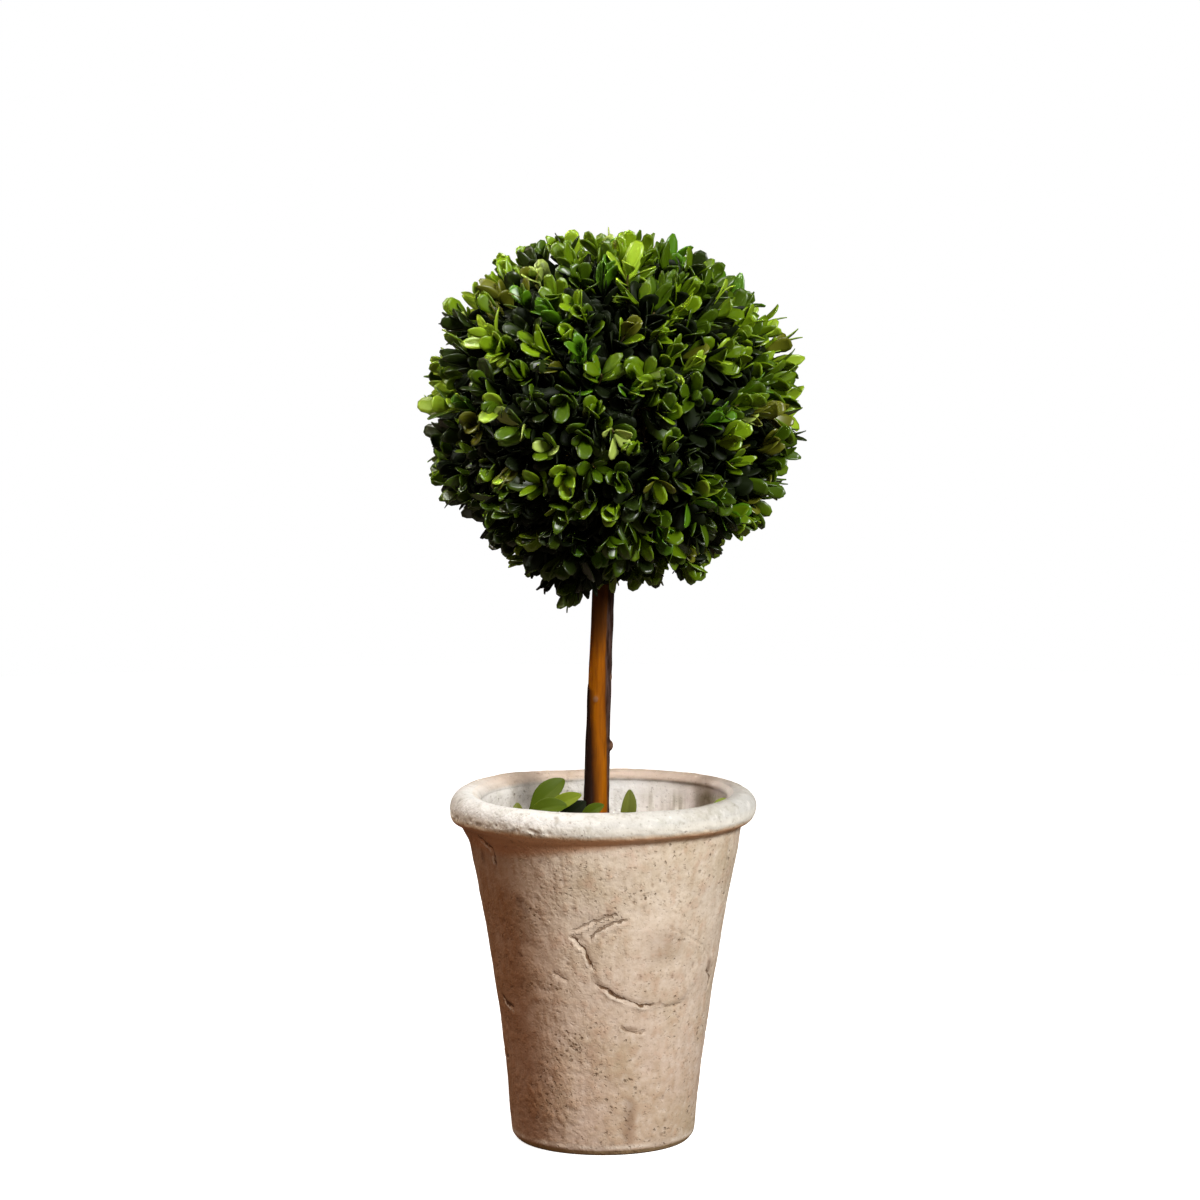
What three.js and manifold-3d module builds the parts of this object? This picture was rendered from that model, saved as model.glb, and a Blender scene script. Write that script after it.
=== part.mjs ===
// A clipped box ball on a single bare stem, set in an aged, whitewashed clay pot.
// Millimetres, +Z up. The origin is on the ground at the pot's axis, and the front faces -Y.
import * as THREE from 'three';
import { mergeVertices } from 'three/addons/utils/BufferGeometryUtils.js';
import Module from 'manifold-3d';

// ---- driving dimensions ----

const CLEARANCE = 0.3;           // between two pieces that sit against each other

const POT_SIDES = 48;
const POT_STEPS = 7;             // up the outside of the body
const HOLLOW_STEPS = 5;          // down the inside, and up the fill against it
const POT_HEIGHT = 196.5;
const POT_FOOT_RADIUS = 51;      // of the body where it meets the ground
const POT_FOOT_ROUND = 2.5;      // how far the worn edge under the body cuts in
const POT_FOOT_LINE = [[0.3, 0.5], [0, 1.6]];        // (in, up) round that edge, as shares of the cut
const POT_WAIST_RADIUS = 59;     // draws the lower body in, so that the pot opens like a trumpet
const POT_NECK_RADIUS = 75.7;
const POT_NECK_Z = 166;
const POT_WALL = 8;
const POT_FLOOR = 13;
const LIP_RADIUS = 77.1;         // of the circle down the middle of the rolled lip
const LIP_HALF_WIDTH = 8.7;
const LIP_OVER = 9;              // how far the roll rises over its outermost line
const LIP_UNDER = 8;             // and how far it reaches under it
const LIP_FILLET = [[76.4, 171.5], [77.6, 175.5], [79.6, 178.6]];   // from the neck into the lip
const LIP_OUTSIDE = [-52, 90, 8];                    // degrees round the roll from its outermost line,
const LIP_INSIDE = [110, 165, 3];                    // and the steps along each stretch

const FILL_Z = 168;              // top of what fills the pot

const STEM_SIDES = 16;
const STEM_COURSE = [              // points on its axis, from its flat foot to its flat tip
	[-6.2, 0, 98], [-4.5, 0, 168], [-3.2, 0.4, 211], [-2.4, 0.5, 246], [-0.8, 0, 283], [3.2, 0, 415],
];
const STEM_TOP_RADIUS = 5.6;
const STEM_FOOT_RADIUS = 6.9;
const STEM_FLARE = 0.9;          // how much more the radius grows at the top of the fill
const STEM_FLARE_HEIGHT = 22;    // over which the flare fades
const STEM_STATIONS = 26;

const BALL_CENTRE = [5, 0, 406.2];
const BALL_OUTLINE = [           // its radius every 30 degrees from +X, rising, as seen from the front
	105, 103.8, 102.1, 101.3, 103.3, 107.7, 104.9, 103.1, 102.9, 101, 98.9, 102.1,
];
const BALL_DEPTH = 104;          // its radius to the front and the back
const BALL_DETAIL = 9;           // subdivisions of an icosahedron's edge

// ---- colours and finishes ----

const finish = (color, roughness) => new THREE.MeshStandardMaterial({ color, roughness, metalness: 0 });
const CLAY = finish(0xcdb79f, 0.95);
const FILL = finish(0x5a4a34, 1);
const BARK = finish(0x8a5317, 0.7);
const LEAF = finish(0x3c6414, 0.55);

// ---- solids ----

const wasm = await Module();
wasm.setup();

function toSolid(geometry) {
	geometry.deleteAttribute('normal');
	geometry.deleteAttribute('uv');
	const merged = mergeVertices(geometry, 1e-4);
	return new wasm.Manifold(new wasm.Mesh({
		numProp: 3,
		vertProperties: new Float32Array(merged.attributes.position.array),
		triVerts: new Uint32Array(merged.index.array),
	}));
}

function toGeometry(solid) {
	const { vertProperties, triVerts } = solid.getMesh();
	const geometry = new THREE.BufferGeometry();
	geometry.setAttribute('position', new THREE.BufferAttribute(vertProperties, 3));
	geometry.setIndex(new THREE.BufferAttribute(triVerts, 1));
	geometry.computeVertexNormals();
	return geometry;
}

function moveVertices(geometry, move) {
	const position = geometry.attributes.position;
	const point = new THREE.Vector3();
	for (let i = 0; i < position.count; i++) {
		move(point.fromBufferAttribute(position, i), i);
		position.setXYZ(i, point.x, point.y, point.z);
	}
	return geometry;
}

// Turns a profile of (radius, height) pairs about +Z.
function turned(profile, sides) {
	const points = profile.map(([radius, z]) => new THREE.Vector2(radius, z));
	return toSolid(new THREE.LatheGeometry(points, sides).rotateX(Math.PI / 2));
}

function namedMesh(name, solid, material) {
	const mesh = new THREE.Mesh(toGeometry(solid), material);
	mesh.name = name;
	return mesh;
}

// ---- pot ----

const bodyLine = new THREE.QuadraticBezierCurve(
	new THREE.Vector2(POT_FOOT_RADIUS, 0),
	new THREE.Vector2(POT_WAIST_RADIUS, POT_NECK_Z / 2),
	new THREE.Vector2(POT_NECK_RADIUS, POT_NECK_Z),
);

const bodyRadius = (z) => bodyLine.getPoint(z / POT_NECK_Z).x;

// Heights along the wall from one level to another, both ends among them.
function levels(from, to, steps) {
	return Array.from({ length: steps + 1 }, (_, i) => from + (to - from) * i / steps);
}

function lipArc(fromDegrees, toDegrees, steps) {
	return levels(fromDegrees, toDegrees, steps).map((degrees) => {
		const angle = THREE.MathUtils.degToRad(degrees);
		const tall = degrees < 0 ? LIP_UNDER : LIP_OVER;
		return [LIP_RADIUS + LIP_HALF_WIDTH * Math.cos(angle), POT_HEIGHT - LIP_OVER + tall * Math.sin(angle)];
	});
}

function pot() {
	const foot = POT_FOOT_LINE.map(([inward, up]) => {
		const z = POT_FOOT_ROUND * up;
		return [bodyRadius(z) - POT_FOOT_ROUND * inward, z];
	});
	const [, [, footTop]] = foot;
	const outside = levels(footTop, POT_NECK_Z, POT_STEPS).slice(1).map((z) => [bodyRadius(z), z]);
	const inside = levels(POT_NECK_Z, POT_FLOOR, HOLLOW_STEPS).map((z) => [bodyRadius(z) - POT_WALL, z]);
	return turned([
		[0, 0],
		[POT_FOOT_RADIUS - POT_FOOT_ROUND, 0],
		...foot,
		...outside,
		...LIP_FILLET,
		...lipArc(...LIP_OUTSIDE),
		...lipArc(...LIP_INSIDE),
		...inside,
		[0, POT_FLOOR],
	], POT_SIDES);
}

// ---- fill ----

function fill(stemRoom) {
	const foot = POT_FLOOR + CLEARANCE;
	const side = levels(foot, POT_NECK_Z, HOLLOW_STEPS).map((z) => [bodyRadius(z) - POT_WALL - CLEARANCE, z]);
	const topRadius = POT_NECK_RADIUS - POT_WALL - CLEARANCE;
	return turned([[0, foot], ...side, [topRadius, FILL_Z], [0, FILL_Z]], POT_SIDES).subtract(stemRoom);
}

// ---- stem ----

const stemCourse = new THREE.CatmullRomCurve3(STEM_COURSE.map((point) => new THREE.Vector3(...point)));
const STEM_TOP_Z = STEM_COURSE[STEM_COURSE.length - 1][2];

function stemRadius(z) {
	const share = THREE.MathUtils.clamp((z - FILL_Z) / (STEM_TOP_Z - FILL_Z), 0, 1);
	const flare = STEM_FLARE * Math.exp(-Math.max(z - FILL_Z, 0) / STEM_FLARE_HEIGHT);
	return THREE.MathUtils.lerp(STEM_FOOT_RADIUS, STEM_TOP_RADIUS, share) + flare;
}

// The tapered, leaning limb from its flat foot in the fill to its flat tip inside the ball.
// room makes it that much larger all round, for the holes that hold it.
function stemLimb(room) {
	const stations = stemCourse.getPoints(STEM_STATIONS);
	const last = stations.length - 1;
	stations[0].z -= room;
	stations[last].z += room;
	const side = stations.map((station) => new THREE.Vector2(stemRadius(station.z) + room, station.z));
	const profile = [new THREE.Vector2(0, stations[0].z), ...side, new THREE.Vector2(0, stations[last].z)];
	const limb = new THREE.LatheGeometry(profile, STEM_SIDES).rotateX(Math.PI / 2);
	return toSolid(moveVertices(limb, (point, i) => {
		const station = stations[THREE.MathUtils.clamp(i % profile.length - 1, 0, last)];
		point.x += station.x;
		point.y += station.y;
	}));
}

const KNOT_SUNK = 0.35;          // the share of a knot's half length that lies within the limb
const KNOT_FINENESS = 8;         // how much finer than the stations a knot is placed along the limb

// A knot on the bark: the stub of a pruned shoot, or the scar of a bud.
function knot({ z, towards, length, width, rise }) {
	const lump = new THREE.IcosahedronGeometry(1, 1).scale(length, width / 2, width / 2);
	lump.rotateY(-THREE.MathUtils.degToRad(rise)).rotateZ(THREE.MathUtils.degToRad(towards));
	const axis = stemCourse.getPoints(STEM_STATIONS * KNOT_FINENESS).find((point) => point.z >= z);
	const out = stemRadius(z) - length * KNOT_SUNK;
	const angle = THREE.MathUtils.degToRad(towards);
	return toSolid(lump.translate(axis.x + out * Math.cos(angle), axis.y + out * Math.sin(angle), z));
}

const KNOTS = [
	{ z: 222, towards: -12, length: 4.2, width: 6.8, rise: 25 },    // pruned stub on the right
	{ z: 245, towards: -110, length: 2.4, width: 4.6, rise: 0 },    // bud scar at the front
	{ z: 259, towards: -8, length: 2.6, width: 4.4, rise: 40 },     // small step on the right
	{ z: 272, towards: 100, length: 2.4, width: 5, rise: 20 },      // closed scar at the back
];

function stem() {
	return KNOTS.reduce((limb, each) => limb.add(knot(each)), stemLimb(0));
}

// ---- foliage ball ----

// Slow waves over the clipped surface: direction of travel, waves per unit, phase, height in mm.
const BALL_WAVES = [
	[[0.8, 0.3, 0.5], 5, 0.4, 1.3],
	[[-0.4, 0.8, 0.45], 7, 2.1, 1.2],
	[[0.2, -0.5, 0.85], 9, 4.0, 1.1],
	[[-0.7, -0.6, 0.3], 13, 1.2, 0.8],
	[[0.5, -0.8, -0.3], 17, 5.1, 0.6],
];

function unevenness(direction) {
	return BALL_WAVES.reduce((sum, [along, waves, phase, height]) => (
		sum + height * Math.sin(waves * direction.dot(new THREE.Vector3(...along)) + phase)), 0);
}

// Radius of the outline at an angle, eased from each of its points to the next.
function outlineRadius(angle) {
	const count = BALL_OUTLINE.length;
	const place = THREE.MathUtils.euclideanModulo(angle / (2 * Math.PI), 1) * count;
	const from = Math.floor(place) % count;
	return THREE.MathUtils.lerp(
		BALL_OUTLINE[from],
		BALL_OUTLINE[(from + 1) % count],
		THREE.MathUtils.smoothstep(place - Math.floor(place), 0, 1),
	);
}

function ball(stemRoom) {
	const shell = moveVertices(new THREE.IcosahedronGeometry(1, BALL_DETAIL), (way) => {
		const outline = outlineRadius(Math.atan2(way.z, way.x));
		const radius = THREE.MathUtils.lerp(outline, BALL_DEPTH, way.y ** 2);
		way.multiplyScalar(radius + unevenness(way));
	});
	return toSolid(shell.translate(...BALL_CENTRE)).subtract(stemRoom);
}

// ---- sprigs pushed into the fill ----

// Each sprig: where its foot is on the fill, and for each broad leaf the way it leans,
// how far it leans from upright, how long and wide it is, and the way its face looks.
const SPRIGS = {
	sprig_left: { foot: [-37, -5], leaves: [
		{ towards: 8, lean: 22, length: 39, width: 15, faces: -95 },
		{ towards: -14, lean: 45, length: 33, width: 14, faces: -90 },
		{ towards: -30, lean: 62, length: 26, width: 12, faces: -80 },
	] },
	sprig_front: { foot: [-7.5, -18], leaves: [
		{ towards: 10, lean: 6, length: 28, width: 13, faces: -92 },
	] },
	sprig_right: { foot: [12, -1], leaves: [
		{ towards: 20, lean: 7, length: 31, width: 9, faces: -100 },
		{ towards: -50, lean: 55, length: 20, width: 10, faces: -60 },
	] },
	sprig_far_left: { foot: [-47, -24], leaves: [
		{ towards: 100, lean: 20, length: 23, width: 9, faces: -120 },
		{ towards: 20, lean: 55, length: 16, width: 9, faces: -90 },
	] },
	sprig_far_right: { foot: [54, -14], leaves: [
		{ towards: 10, lean: 18, length: 28, width: 9, faces: -170 },
		{ towards: 130, lean: 45, length: 20, width: 9, faces: -120 },
	] },
};
const LEAF_THICK = 3.2;          // of a leaf's share of the solid, more than the leaf itself
const LEAF_SUNK = 4;             // how deep each leaf starts below the top of the fill
const LEAF_WAVE = 0.05;          // how uneven the outline is, as a share of the size
const STALKS = [4.5, 4, 6];      // half sizes of the bundle of stalks that joins a sprig's leaves

function broadLeaf({ towards, lean, length, width, faces }) {
	const blade = moveVertices(new THREE.IcosahedronGeometry(1, 2), (point) => {
		const swell = 1 + LEAF_WAVE * unevenness(point.clone());
		point.set(point.x * LEAF_THICK / 2, point.y * width / 2, (point.z + 1) * length / 2);
		point.x *= swell;
		point.y *= swell;
	});
	const away = THREE.MathUtils.degToRad(towards);
	blade.rotateZ(THREE.MathUtils.degToRad(faces));
	const tip = new THREE.Vector3(-Math.sin(away), Math.cos(away), 0);
	blade.applyMatrix4(new THREE.Matrix4().makeRotationAxis(tip, THREE.MathUtils.degToRad(lean)));
	return toSolid(blade.translate(0, 0, -LEAF_SUNK));
}

function sprig({ foot: [x, y], leaves }) {
	const stalks = toSolid(new THREE.IcosahedronGeometry(1, 1).scale(...STALKS));
	const tuft = leaves.map(broadLeaf).reduce((all, leaf) => all.add(leaf), stalks);
	const below = new THREE.BoxGeometry(POT_HEIGHT, POT_HEIGHT, FILL_Z).translate(0, 0, CLEARANCE - FILL_Z / 2);
	return tuft.subtract(toSolid(below)).translate([x, y, FILL_Z]);
}

// ---- assembly ----

const stemRoom = stemLimb(CLEARANCE);
const topiary = new THREE.Group();
topiary.name = 'box_topiary_ball';
topiary.add(
	namedMesh('pot', pot(), CLAY),
	namedMesh('pot_fill', fill(stemRoom), FILL),
	namedMesh('stem', stem(), BARK),
	namedMesh('foliage_ball', ball(stemRoom), LEAF),
	...Object.entries(SPRIGS).map(([name, shape]) => namedMesh(name, sprig(shape), LEAF)),
);

export default topiary;
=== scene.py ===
"""A clipped box ball on a bare stem, in a whitewashed clay pot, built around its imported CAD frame.

Metres, +Z up, the pot's axis at X = Y = 0 and the front facing -Y. Sizes are in millimetres times MM.
"""

import math
import random

import bmesh
import bpy
import numpy as np
from mathutils import Matrix, Vector, noise
from mathutils.bvhtree import BVHTree


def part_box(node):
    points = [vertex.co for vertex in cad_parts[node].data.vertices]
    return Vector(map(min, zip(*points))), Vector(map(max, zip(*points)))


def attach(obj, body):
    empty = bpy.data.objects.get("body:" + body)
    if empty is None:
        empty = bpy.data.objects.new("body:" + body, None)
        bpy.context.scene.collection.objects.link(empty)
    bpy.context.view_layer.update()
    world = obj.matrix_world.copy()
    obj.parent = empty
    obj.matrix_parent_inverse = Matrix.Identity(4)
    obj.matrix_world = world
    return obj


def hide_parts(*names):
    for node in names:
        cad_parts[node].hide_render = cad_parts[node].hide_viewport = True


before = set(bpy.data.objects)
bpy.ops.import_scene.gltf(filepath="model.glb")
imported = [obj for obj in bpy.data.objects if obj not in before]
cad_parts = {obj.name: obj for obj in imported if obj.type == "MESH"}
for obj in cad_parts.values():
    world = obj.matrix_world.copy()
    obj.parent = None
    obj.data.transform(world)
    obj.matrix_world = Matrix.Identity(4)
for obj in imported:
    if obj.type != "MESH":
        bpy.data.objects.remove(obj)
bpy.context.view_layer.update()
MM = 0.001
BODY = "root"

# ---------------------------------------------------------------- camera, light and floor

SIGHT = Vector((-1.7 * MM, 0, 303 * MM))     # the point that the camera looks at
SIGHT_DISTANCE = 2.331
SIGHT_PITCH = math.radians(6.7)              # how far the camera looks down
LENS_MM = 126.0
SENSOR_MM = 36.0


def look(thing, place, at):
    thing.location = place
    thing.rotation_euler = (Vector(at) - Vector(place)).to_track_quat("-Z", "Y").to_euler()


def set_camera():
    data = bpy.data.cameras.new("view")
    data.lens = LENS_MM
    data.sensor_width = SENSOR_MM
    camera = put_in_scene("view", data)
    back = Vector((0, -math.cos(SIGHT_PITCH), math.sin(SIGHT_PITCH)))
    look(camera, SIGHT + SIGHT_DISTANCE * back, SIGHT)
    bpy.context.scene.camera = camera


# For each lamp: its place, its size in metres, its power in watts, its colour, what it is aimed at and how
# wide its beam opens in degrees.
LAMPS = {
    "key": ((1.36, -1.78, 1.62), 0.85, 92, "#FFFFFF", (0, 0, 0.33), 180),
    "overhead": ((-0.9, -0.1, 2.1), 0.9, 22, "#FFFAF4", (0, 0, 0.3), 180),
    "fill": ((-1.5, -0.2, 1.3), 0.7, 7.5, "#FFE0C8", (0, 0, 0.2), 180),
    "side": ((-1.1, -0.7, 1.5), 0.3, 0.19, "#FFFFFF", (-0.06, 0, 0.47), 12),
    "low": ((-0.6, -0.9, 0.03), 0.15, 0.0185, "#FFC29E", (-0.01, 0, 0.075), 20),
}
STUDIO_TINT = "#FFCBAC"
STUDIO_GLOW = 0.049


def set_lights():
    for name, (place, size, power, tint, at, beam) in LAMPS.items():
        data = bpy.data.lights.new(name, "AREA")
        data.shape = "DISK"
        data.size = size
        data.spread = math.radians(beam)
        data.energy = power
        data.color = paint(tint)[:3]
        look(put_in_scene(name, data), place, at)
    world = bpy.data.worlds.new("studio")
    bpy.context.scene.world = world
    world.use_nodes = True
    tree = world.node_tree
    glow = wire(tree, tree.nodes["Background"], {"Color": STUDIO_TINT, "Strength": STUDIO_GLOW})
    seen = add(tree, "Background", {"Color": "#FFFFFF", "Strength": 1.0})
    both = add(tree, "MixShader", {0: add(tree, "LightPath"), 1: glow, 2: seen})
    wire(tree, tree.nodes["World Output"], {"Surface": both})


FLOOR_RADIUS = 2.0
FLOOR_LIFT = 0.8                             # how brightly the floor is lit from below


def lay_floor():
    let_go()
    bpy.ops.mesh.primitive_circle_add(vertices=96, radius=FLOOR_RADIUS, fill_type="NGON", location=(0, 0, 0))
    floor = named("floor")
    floor.data.materials.append(pale_floor())


def pale_floor():
    """A seamless pale floor, lit from below as a light table is, that throws little light back up."""
    material, tree, shader = new_material("pale_floor", 0.9, 0.0)
    eye = add(tree, "LightPath")
    tone = add(tree, "Mix", {0: eye, 6: "#6E6258", 7: "#F4F3F1"}, data_type="RGBA")
    lift = add(tree, "Math", {0: eye, 1: FLOOR_LIFT}, operation="MULTIPLY")
    wire(tree, shader, {"Base Color": tone, "Emission Color": "#FFFFFF", "Emission Strength": lift})
    return material


# ---------------------------------------------------------------- small tools

def paint(hex_colour):
    """An sRGB hex colour as the linear colour that a shader takes."""
    shares = [int(hex_colour[i:i + 2], 16) / 255 for i in (1, 3, 5)]
    return (*[c / 12.92 if c <= 0.04045 else ((c + 0.055) / 1.055) ** 2.4 for c in shares], 1.0)


def wire(tree, node, inputs):
    """Sets each input to a value or hex colour, or links it from an output or a node's first live output."""
    for key, value in inputs.items():
        if isinstance(value, bpy.types.Node):
            value = next(output for output in value.outputs if output.enabled)
        if isinstance(value, bpy.types.NodeSocket):
            tree.links.new(value, node.inputs[key])
        else:
            node.inputs[key].default_value = paint(value) if isinstance(value, str) else value
    return node


def add(tree, kind, inputs=None, **settings):
    """Adds a shader node with its settings and links."""
    node = tree.nodes.new("ShaderNode" + kind)
    for key, value in settings.items():
        setattr(node, key, value)
    return wire(tree, node, inputs or {})


def overlap(tree, *ramps):
    """Where several patterns run high at once: the product of ramps (pattern[, low, high[, start, end]]).

    A ramp is at its start (0) where its pattern is low and at its end (1) where it is high. Without limits
    the pattern is taken as it is.
    """
    share = None
    for pattern, *limits in ramps:
        ramp = add(tree, "MapRange", {0: pattern, **dict(enumerate(limits, 1))}) if limits else pattern
        share = ramp if share is None else add(tree, "Math", {0: share, 1: ramp}, operation="MULTIPLY")
    return share


def washed(tree, skin, washes):
    """Lays thin washes over a skin, one on another: each a colour, and the ramps that say where it lies."""
    for colour, *ramps in washes:
        skin = add(tree, "Mix", {0: overlap(tree, *ramps), 6: skin, 7: colour}, data_type="RGBA")
    return skin


def new_material(name, roughness, specular=0.5):
    """A material with one Principled shader, and its node tree and shader to work on."""
    material = bpy.data.materials.new(name)
    material.use_nodes = True
    tree = material.node_tree
    finish = {"Roughness": roughness, "Specular IOR Level": specular}
    return material, tree, wire(tree, tree.nodes["Principled BSDF"], finish)


def plain(name, hex_colour, roughness, specular=0.5):
    material, tree, shader = new_material(name, roughness, specular)
    wire(tree, shader, {"Base Color": hex_colour})
    return material


def put_in_scene(name, data):
    thing = bpy.data.objects.new(name, data)
    bpy.context.scene.collection.objects.link(thing)
    return thing


def let_go():
    """Deselects everything, so that the next operator acts only on what it is meant for."""
    for each in bpy.context.selected_objects:
        each.select_set(False)


def take(piece):
    let_go()
    piece.select_set(True)
    bpy.context.view_layer.objects.active = piece


def named(name):
    piece = bpy.context.active_object
    piece.name = name
    piece.data.name = name
    return piece


def pick(test):
    """In edit mode, selects the points that pass a test, and nothing else."""
    mesh = bpy.context.edit_object.data
    form = bmesh.from_edit_mesh(mesh)
    for part in (*form.faces, *form.edges, *form.verts):
        part.select = False
    for point in form.verts:
        if test(point.co):
            point.select_set(True)
    form.select_flush(True)
    bmesh.update_edit_mesh(mesh)


def apply_modifier(piece, kind, **settings):
    take(piece)
    modifier = piece.modifiers.new(kind.lower(), kind)
    for key, value in settings.items():
        setattr(modifier, key, value)
    bpy.ops.object.modifier_apply(modifier=modifier.name)


def subdivide(piece, levels):
    apply_modifier(piece, "SUBSURF", levels=levels, render_levels=levels)


def triples(items, key):
    """Three numbers from each of a mesh's items."""
    flat = np.empty(len(items) * 3, np.float32)
    items.foreach_get(key, flat)
    return flat.reshape(-1, 3).astype(float)


def points_of(piece):
    return triples(piece.data.vertices, "co")


def normals_of(piece):
    return triples(piece.data.vertex_normals, "vector")


def move_points(piece, points):
    piece.data.vertices.foreach_set("co", points.astype(np.float32).ravel())
    piece.data.update()


def shade(piece, **marks):
    """Writes numbers per point, each under its name, that a material reads as attributes."""
    for name, values in marks.items():
        mark = piece.data.attributes.new(name, "FLOAT", "POINT")
        mark.data.foreach_set("value", np.asarray(values, np.float32))


def rough(points, size, seed, stretch=(1, 1, 1)):
    """Smooth random numbers from about -1 to 1 at these points, with lumps of that size in mm."""
    shift = Vector((seed * 7.31, seed * 3.17, seed * 5.53))
    scale = np.array(stretch) / (size * MM)
    return np.array([noise.noise(Vector(p) + shift) for p in points * scale])


def ease(low, high, values):
    """0 below low, 1 above high, and a smooth rise between."""
    share = np.clip((values - low) / (high - low), 0, 1)
    return share * share * (3 - 2 * share)


def band(rise, fall, values):
    """1 between a rise over the first pair of values and a fall over the second, and 0 outside them."""
    return ease(*rise, values) * (1 - ease(*fall, values))


def bell(far, half_width, power=2):
    """1 in the middle, and falling off to both sides."""
    return np.exp(-(far / half_width) ** power)


def around(points):
    """Degrees round an upright axis, from the front towards the right."""
    return np.degrees(np.arctan2(points[:, 0], -points[:, 1]))


def turn_between(degrees, other):
    """Degrees from the other to the first, the short way round."""
    return (degrees - other + 180) % 360 - 180


def between(low, high, steps):
    return [low + (high - low) * i / steps for i in range(steps + 1)]


def hand_over(piece, materials, slot, *nodes):
    """Finishes a piece, which rides on the one body and stands for those CAD nodes; the slot is not used."""
    for material in materials:
        piece.data.materials.append(material)
    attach(piece, BODY)
    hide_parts(*nodes)


# ---------------------------------------------------------------- the clay pot

POT_LOW, POT_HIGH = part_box("pot")
POT_HEIGHT = POT_HIGH.z - POT_LOW.z
LIP_OUTER = (POT_HIGH.x - POT_LOW.x) / 2
LIP_HALF_WIDTH = 8.7 * MM
LIP_OVER = 9 * MM                # how far the roll rises over its outermost line
LIP_UNDER = 8 * MM               # and how far it reaches under it
LIP_ARC = (-72, 100)             # the roll's section, in degrees from its outermost line
LIP_RADIUS = LIP_OUTER - LIP_HALF_WIDTH
FOOT_RADIUS = 51 * MM
WAIST_RADIUS = 59 * MM
NECK_RADIUS = 75.7 * MM
NECK_Z = 166 * MM
# In mm: how far outside the foot's radius, and how high, the worn edge runs that the pot stands on.
FOOT_EDGE = [(-2.4, 0), (-1.6, 0.9), (-0.3, 2.7), (0.1, 3.3)]
# Radius and height in mm: how the neck runs out into the underside of the lip.
LIP_FILLET = [(76.2, 170.5), (76.8, 174.6), (77.3, 177.4), (77.9, 178.9)]
# The same from the top of the lip over its inner edge, then under that and down the hollow.
LIP_INSIDE = [(73.6, 195.9), (71.6, 195), (70.1, 194.1), (69.4, 193.3), (69.3, 192.5), (69.7, 191.8),
              (70.3, 191), (70.6, 189.5), (70.4, 185.5), (69.9, 179), (69, 172)]
WALL_START = 5 * MM
WALL_STEPS, LIP_STEPS = 34, 11
WALL = 8 * MM
BURIED_Z = 144 * MM              # a ring of the hollow well down in the fill, under which none shows
POT_FLOOR = 13 * MM
FLOOR_BEND = 4 * MM
UNDERSIDE_INSET = 8 * MM
POT_SIDES = 88


def body_radius(z):
    """The pot's outside opens like a trumpet from foot to neck."""
    share = z / NECK_Z
    return (1 - share) ** 2 * FOOT_RADIUS + 2 * share * (1 - share) * WAIST_RADIUS + share ** 2 * NECK_RADIUS


def pot_rings():
    """(radius, height) of each ring from the foot up the outside, over the lip and down the hollow."""
    rings = [(FOOT_RADIUS + out * MM, z * MM) for out, z in FOOT_EDGE]
    rings += [(body_radius(z), z) for z in between(WALL_START, NECK_Z, WALL_STEPS)]
    rings += [(radius * MM, z * MM) for radius, z in LIP_FILLET]
    for degrees in between(*LIP_ARC, LIP_STEPS):
        angle = math.radians(degrees)
        rise = (LIP_UNDER if degrees < 0 else LIP_OVER) * math.sin(angle)
        rings.append((LIP_RADIUS + LIP_HALF_WIDTH * math.cos(angle), POT_HEIGHT - LIP_OVER + rise))
    rings += [(radius * MM, z * MM) for radius, z in LIP_INSIDE]
    rings += [(body_radius(z) - WALL, z) for z in (NECK_Z, BURIED_Z, POT_FLOOR)]
    return rings + [(rings[-1][0] - FLOOR_BEND, POT_FLOOR)]


def raise_rings(rings):
    """In edit mode, draws the selected ring out through the next ones, as a wheel raises clay."""
    for (r0, z0), (r1, z1) in zip(rings, rings[1:]):
        bpy.ops.mesh.extrude_region_move(TRANSFORM_OT_translate={"value": (0, 0, z1 - z0)})
        bpy.ops.transform.resize(value=(r1 / r0, r1 / r0, 1), center_override=(0, 0, z1))


# What lies on the wall is placed by degrees round from the front and height in mm. All other lengths are
# in mm too.
MOUTH_RADIUS, MOUTH_HEIGHTS = 73, (160, 193.3)    # inside these the wall is the mouth's, not the lip's
WALL_HEIGHTS = (3, 178)                           # between these scars and pits can show
LIP_EDGE = 182.6                                  # lower edge of the limewash round the lip
CREASE_HEIGHT = 192.2                             # of the crease under the lip's inner edge
# Lumps that the thrown clay has: how far out, how wide, and the seed of each.
WOBBLE = [(0.7, 60, 1), (0.38, 16, 2), (0.15, 5, 3)]
LIP_WAVE, LIP_WAVE_WIDTH = 0.7, 70                # the lip's slow rise and fall
EDGE_FILLED = 2.0                # how far the undercut of the inner edge is filled up at the left
# The left flank, round its middle and half width in degrees: its neck flares out and its side is worn.
FLANK, FLANK_HALF = -95, 42
FLANK_FLARE, FLARE_RISE, FLARE_FALL = 2.2, (166, 180), (181, 186)
FLANK_WEAR, WEAR_RISE, WEAR_FALL = 1.3, (15, 45), (166, 178)
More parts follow.
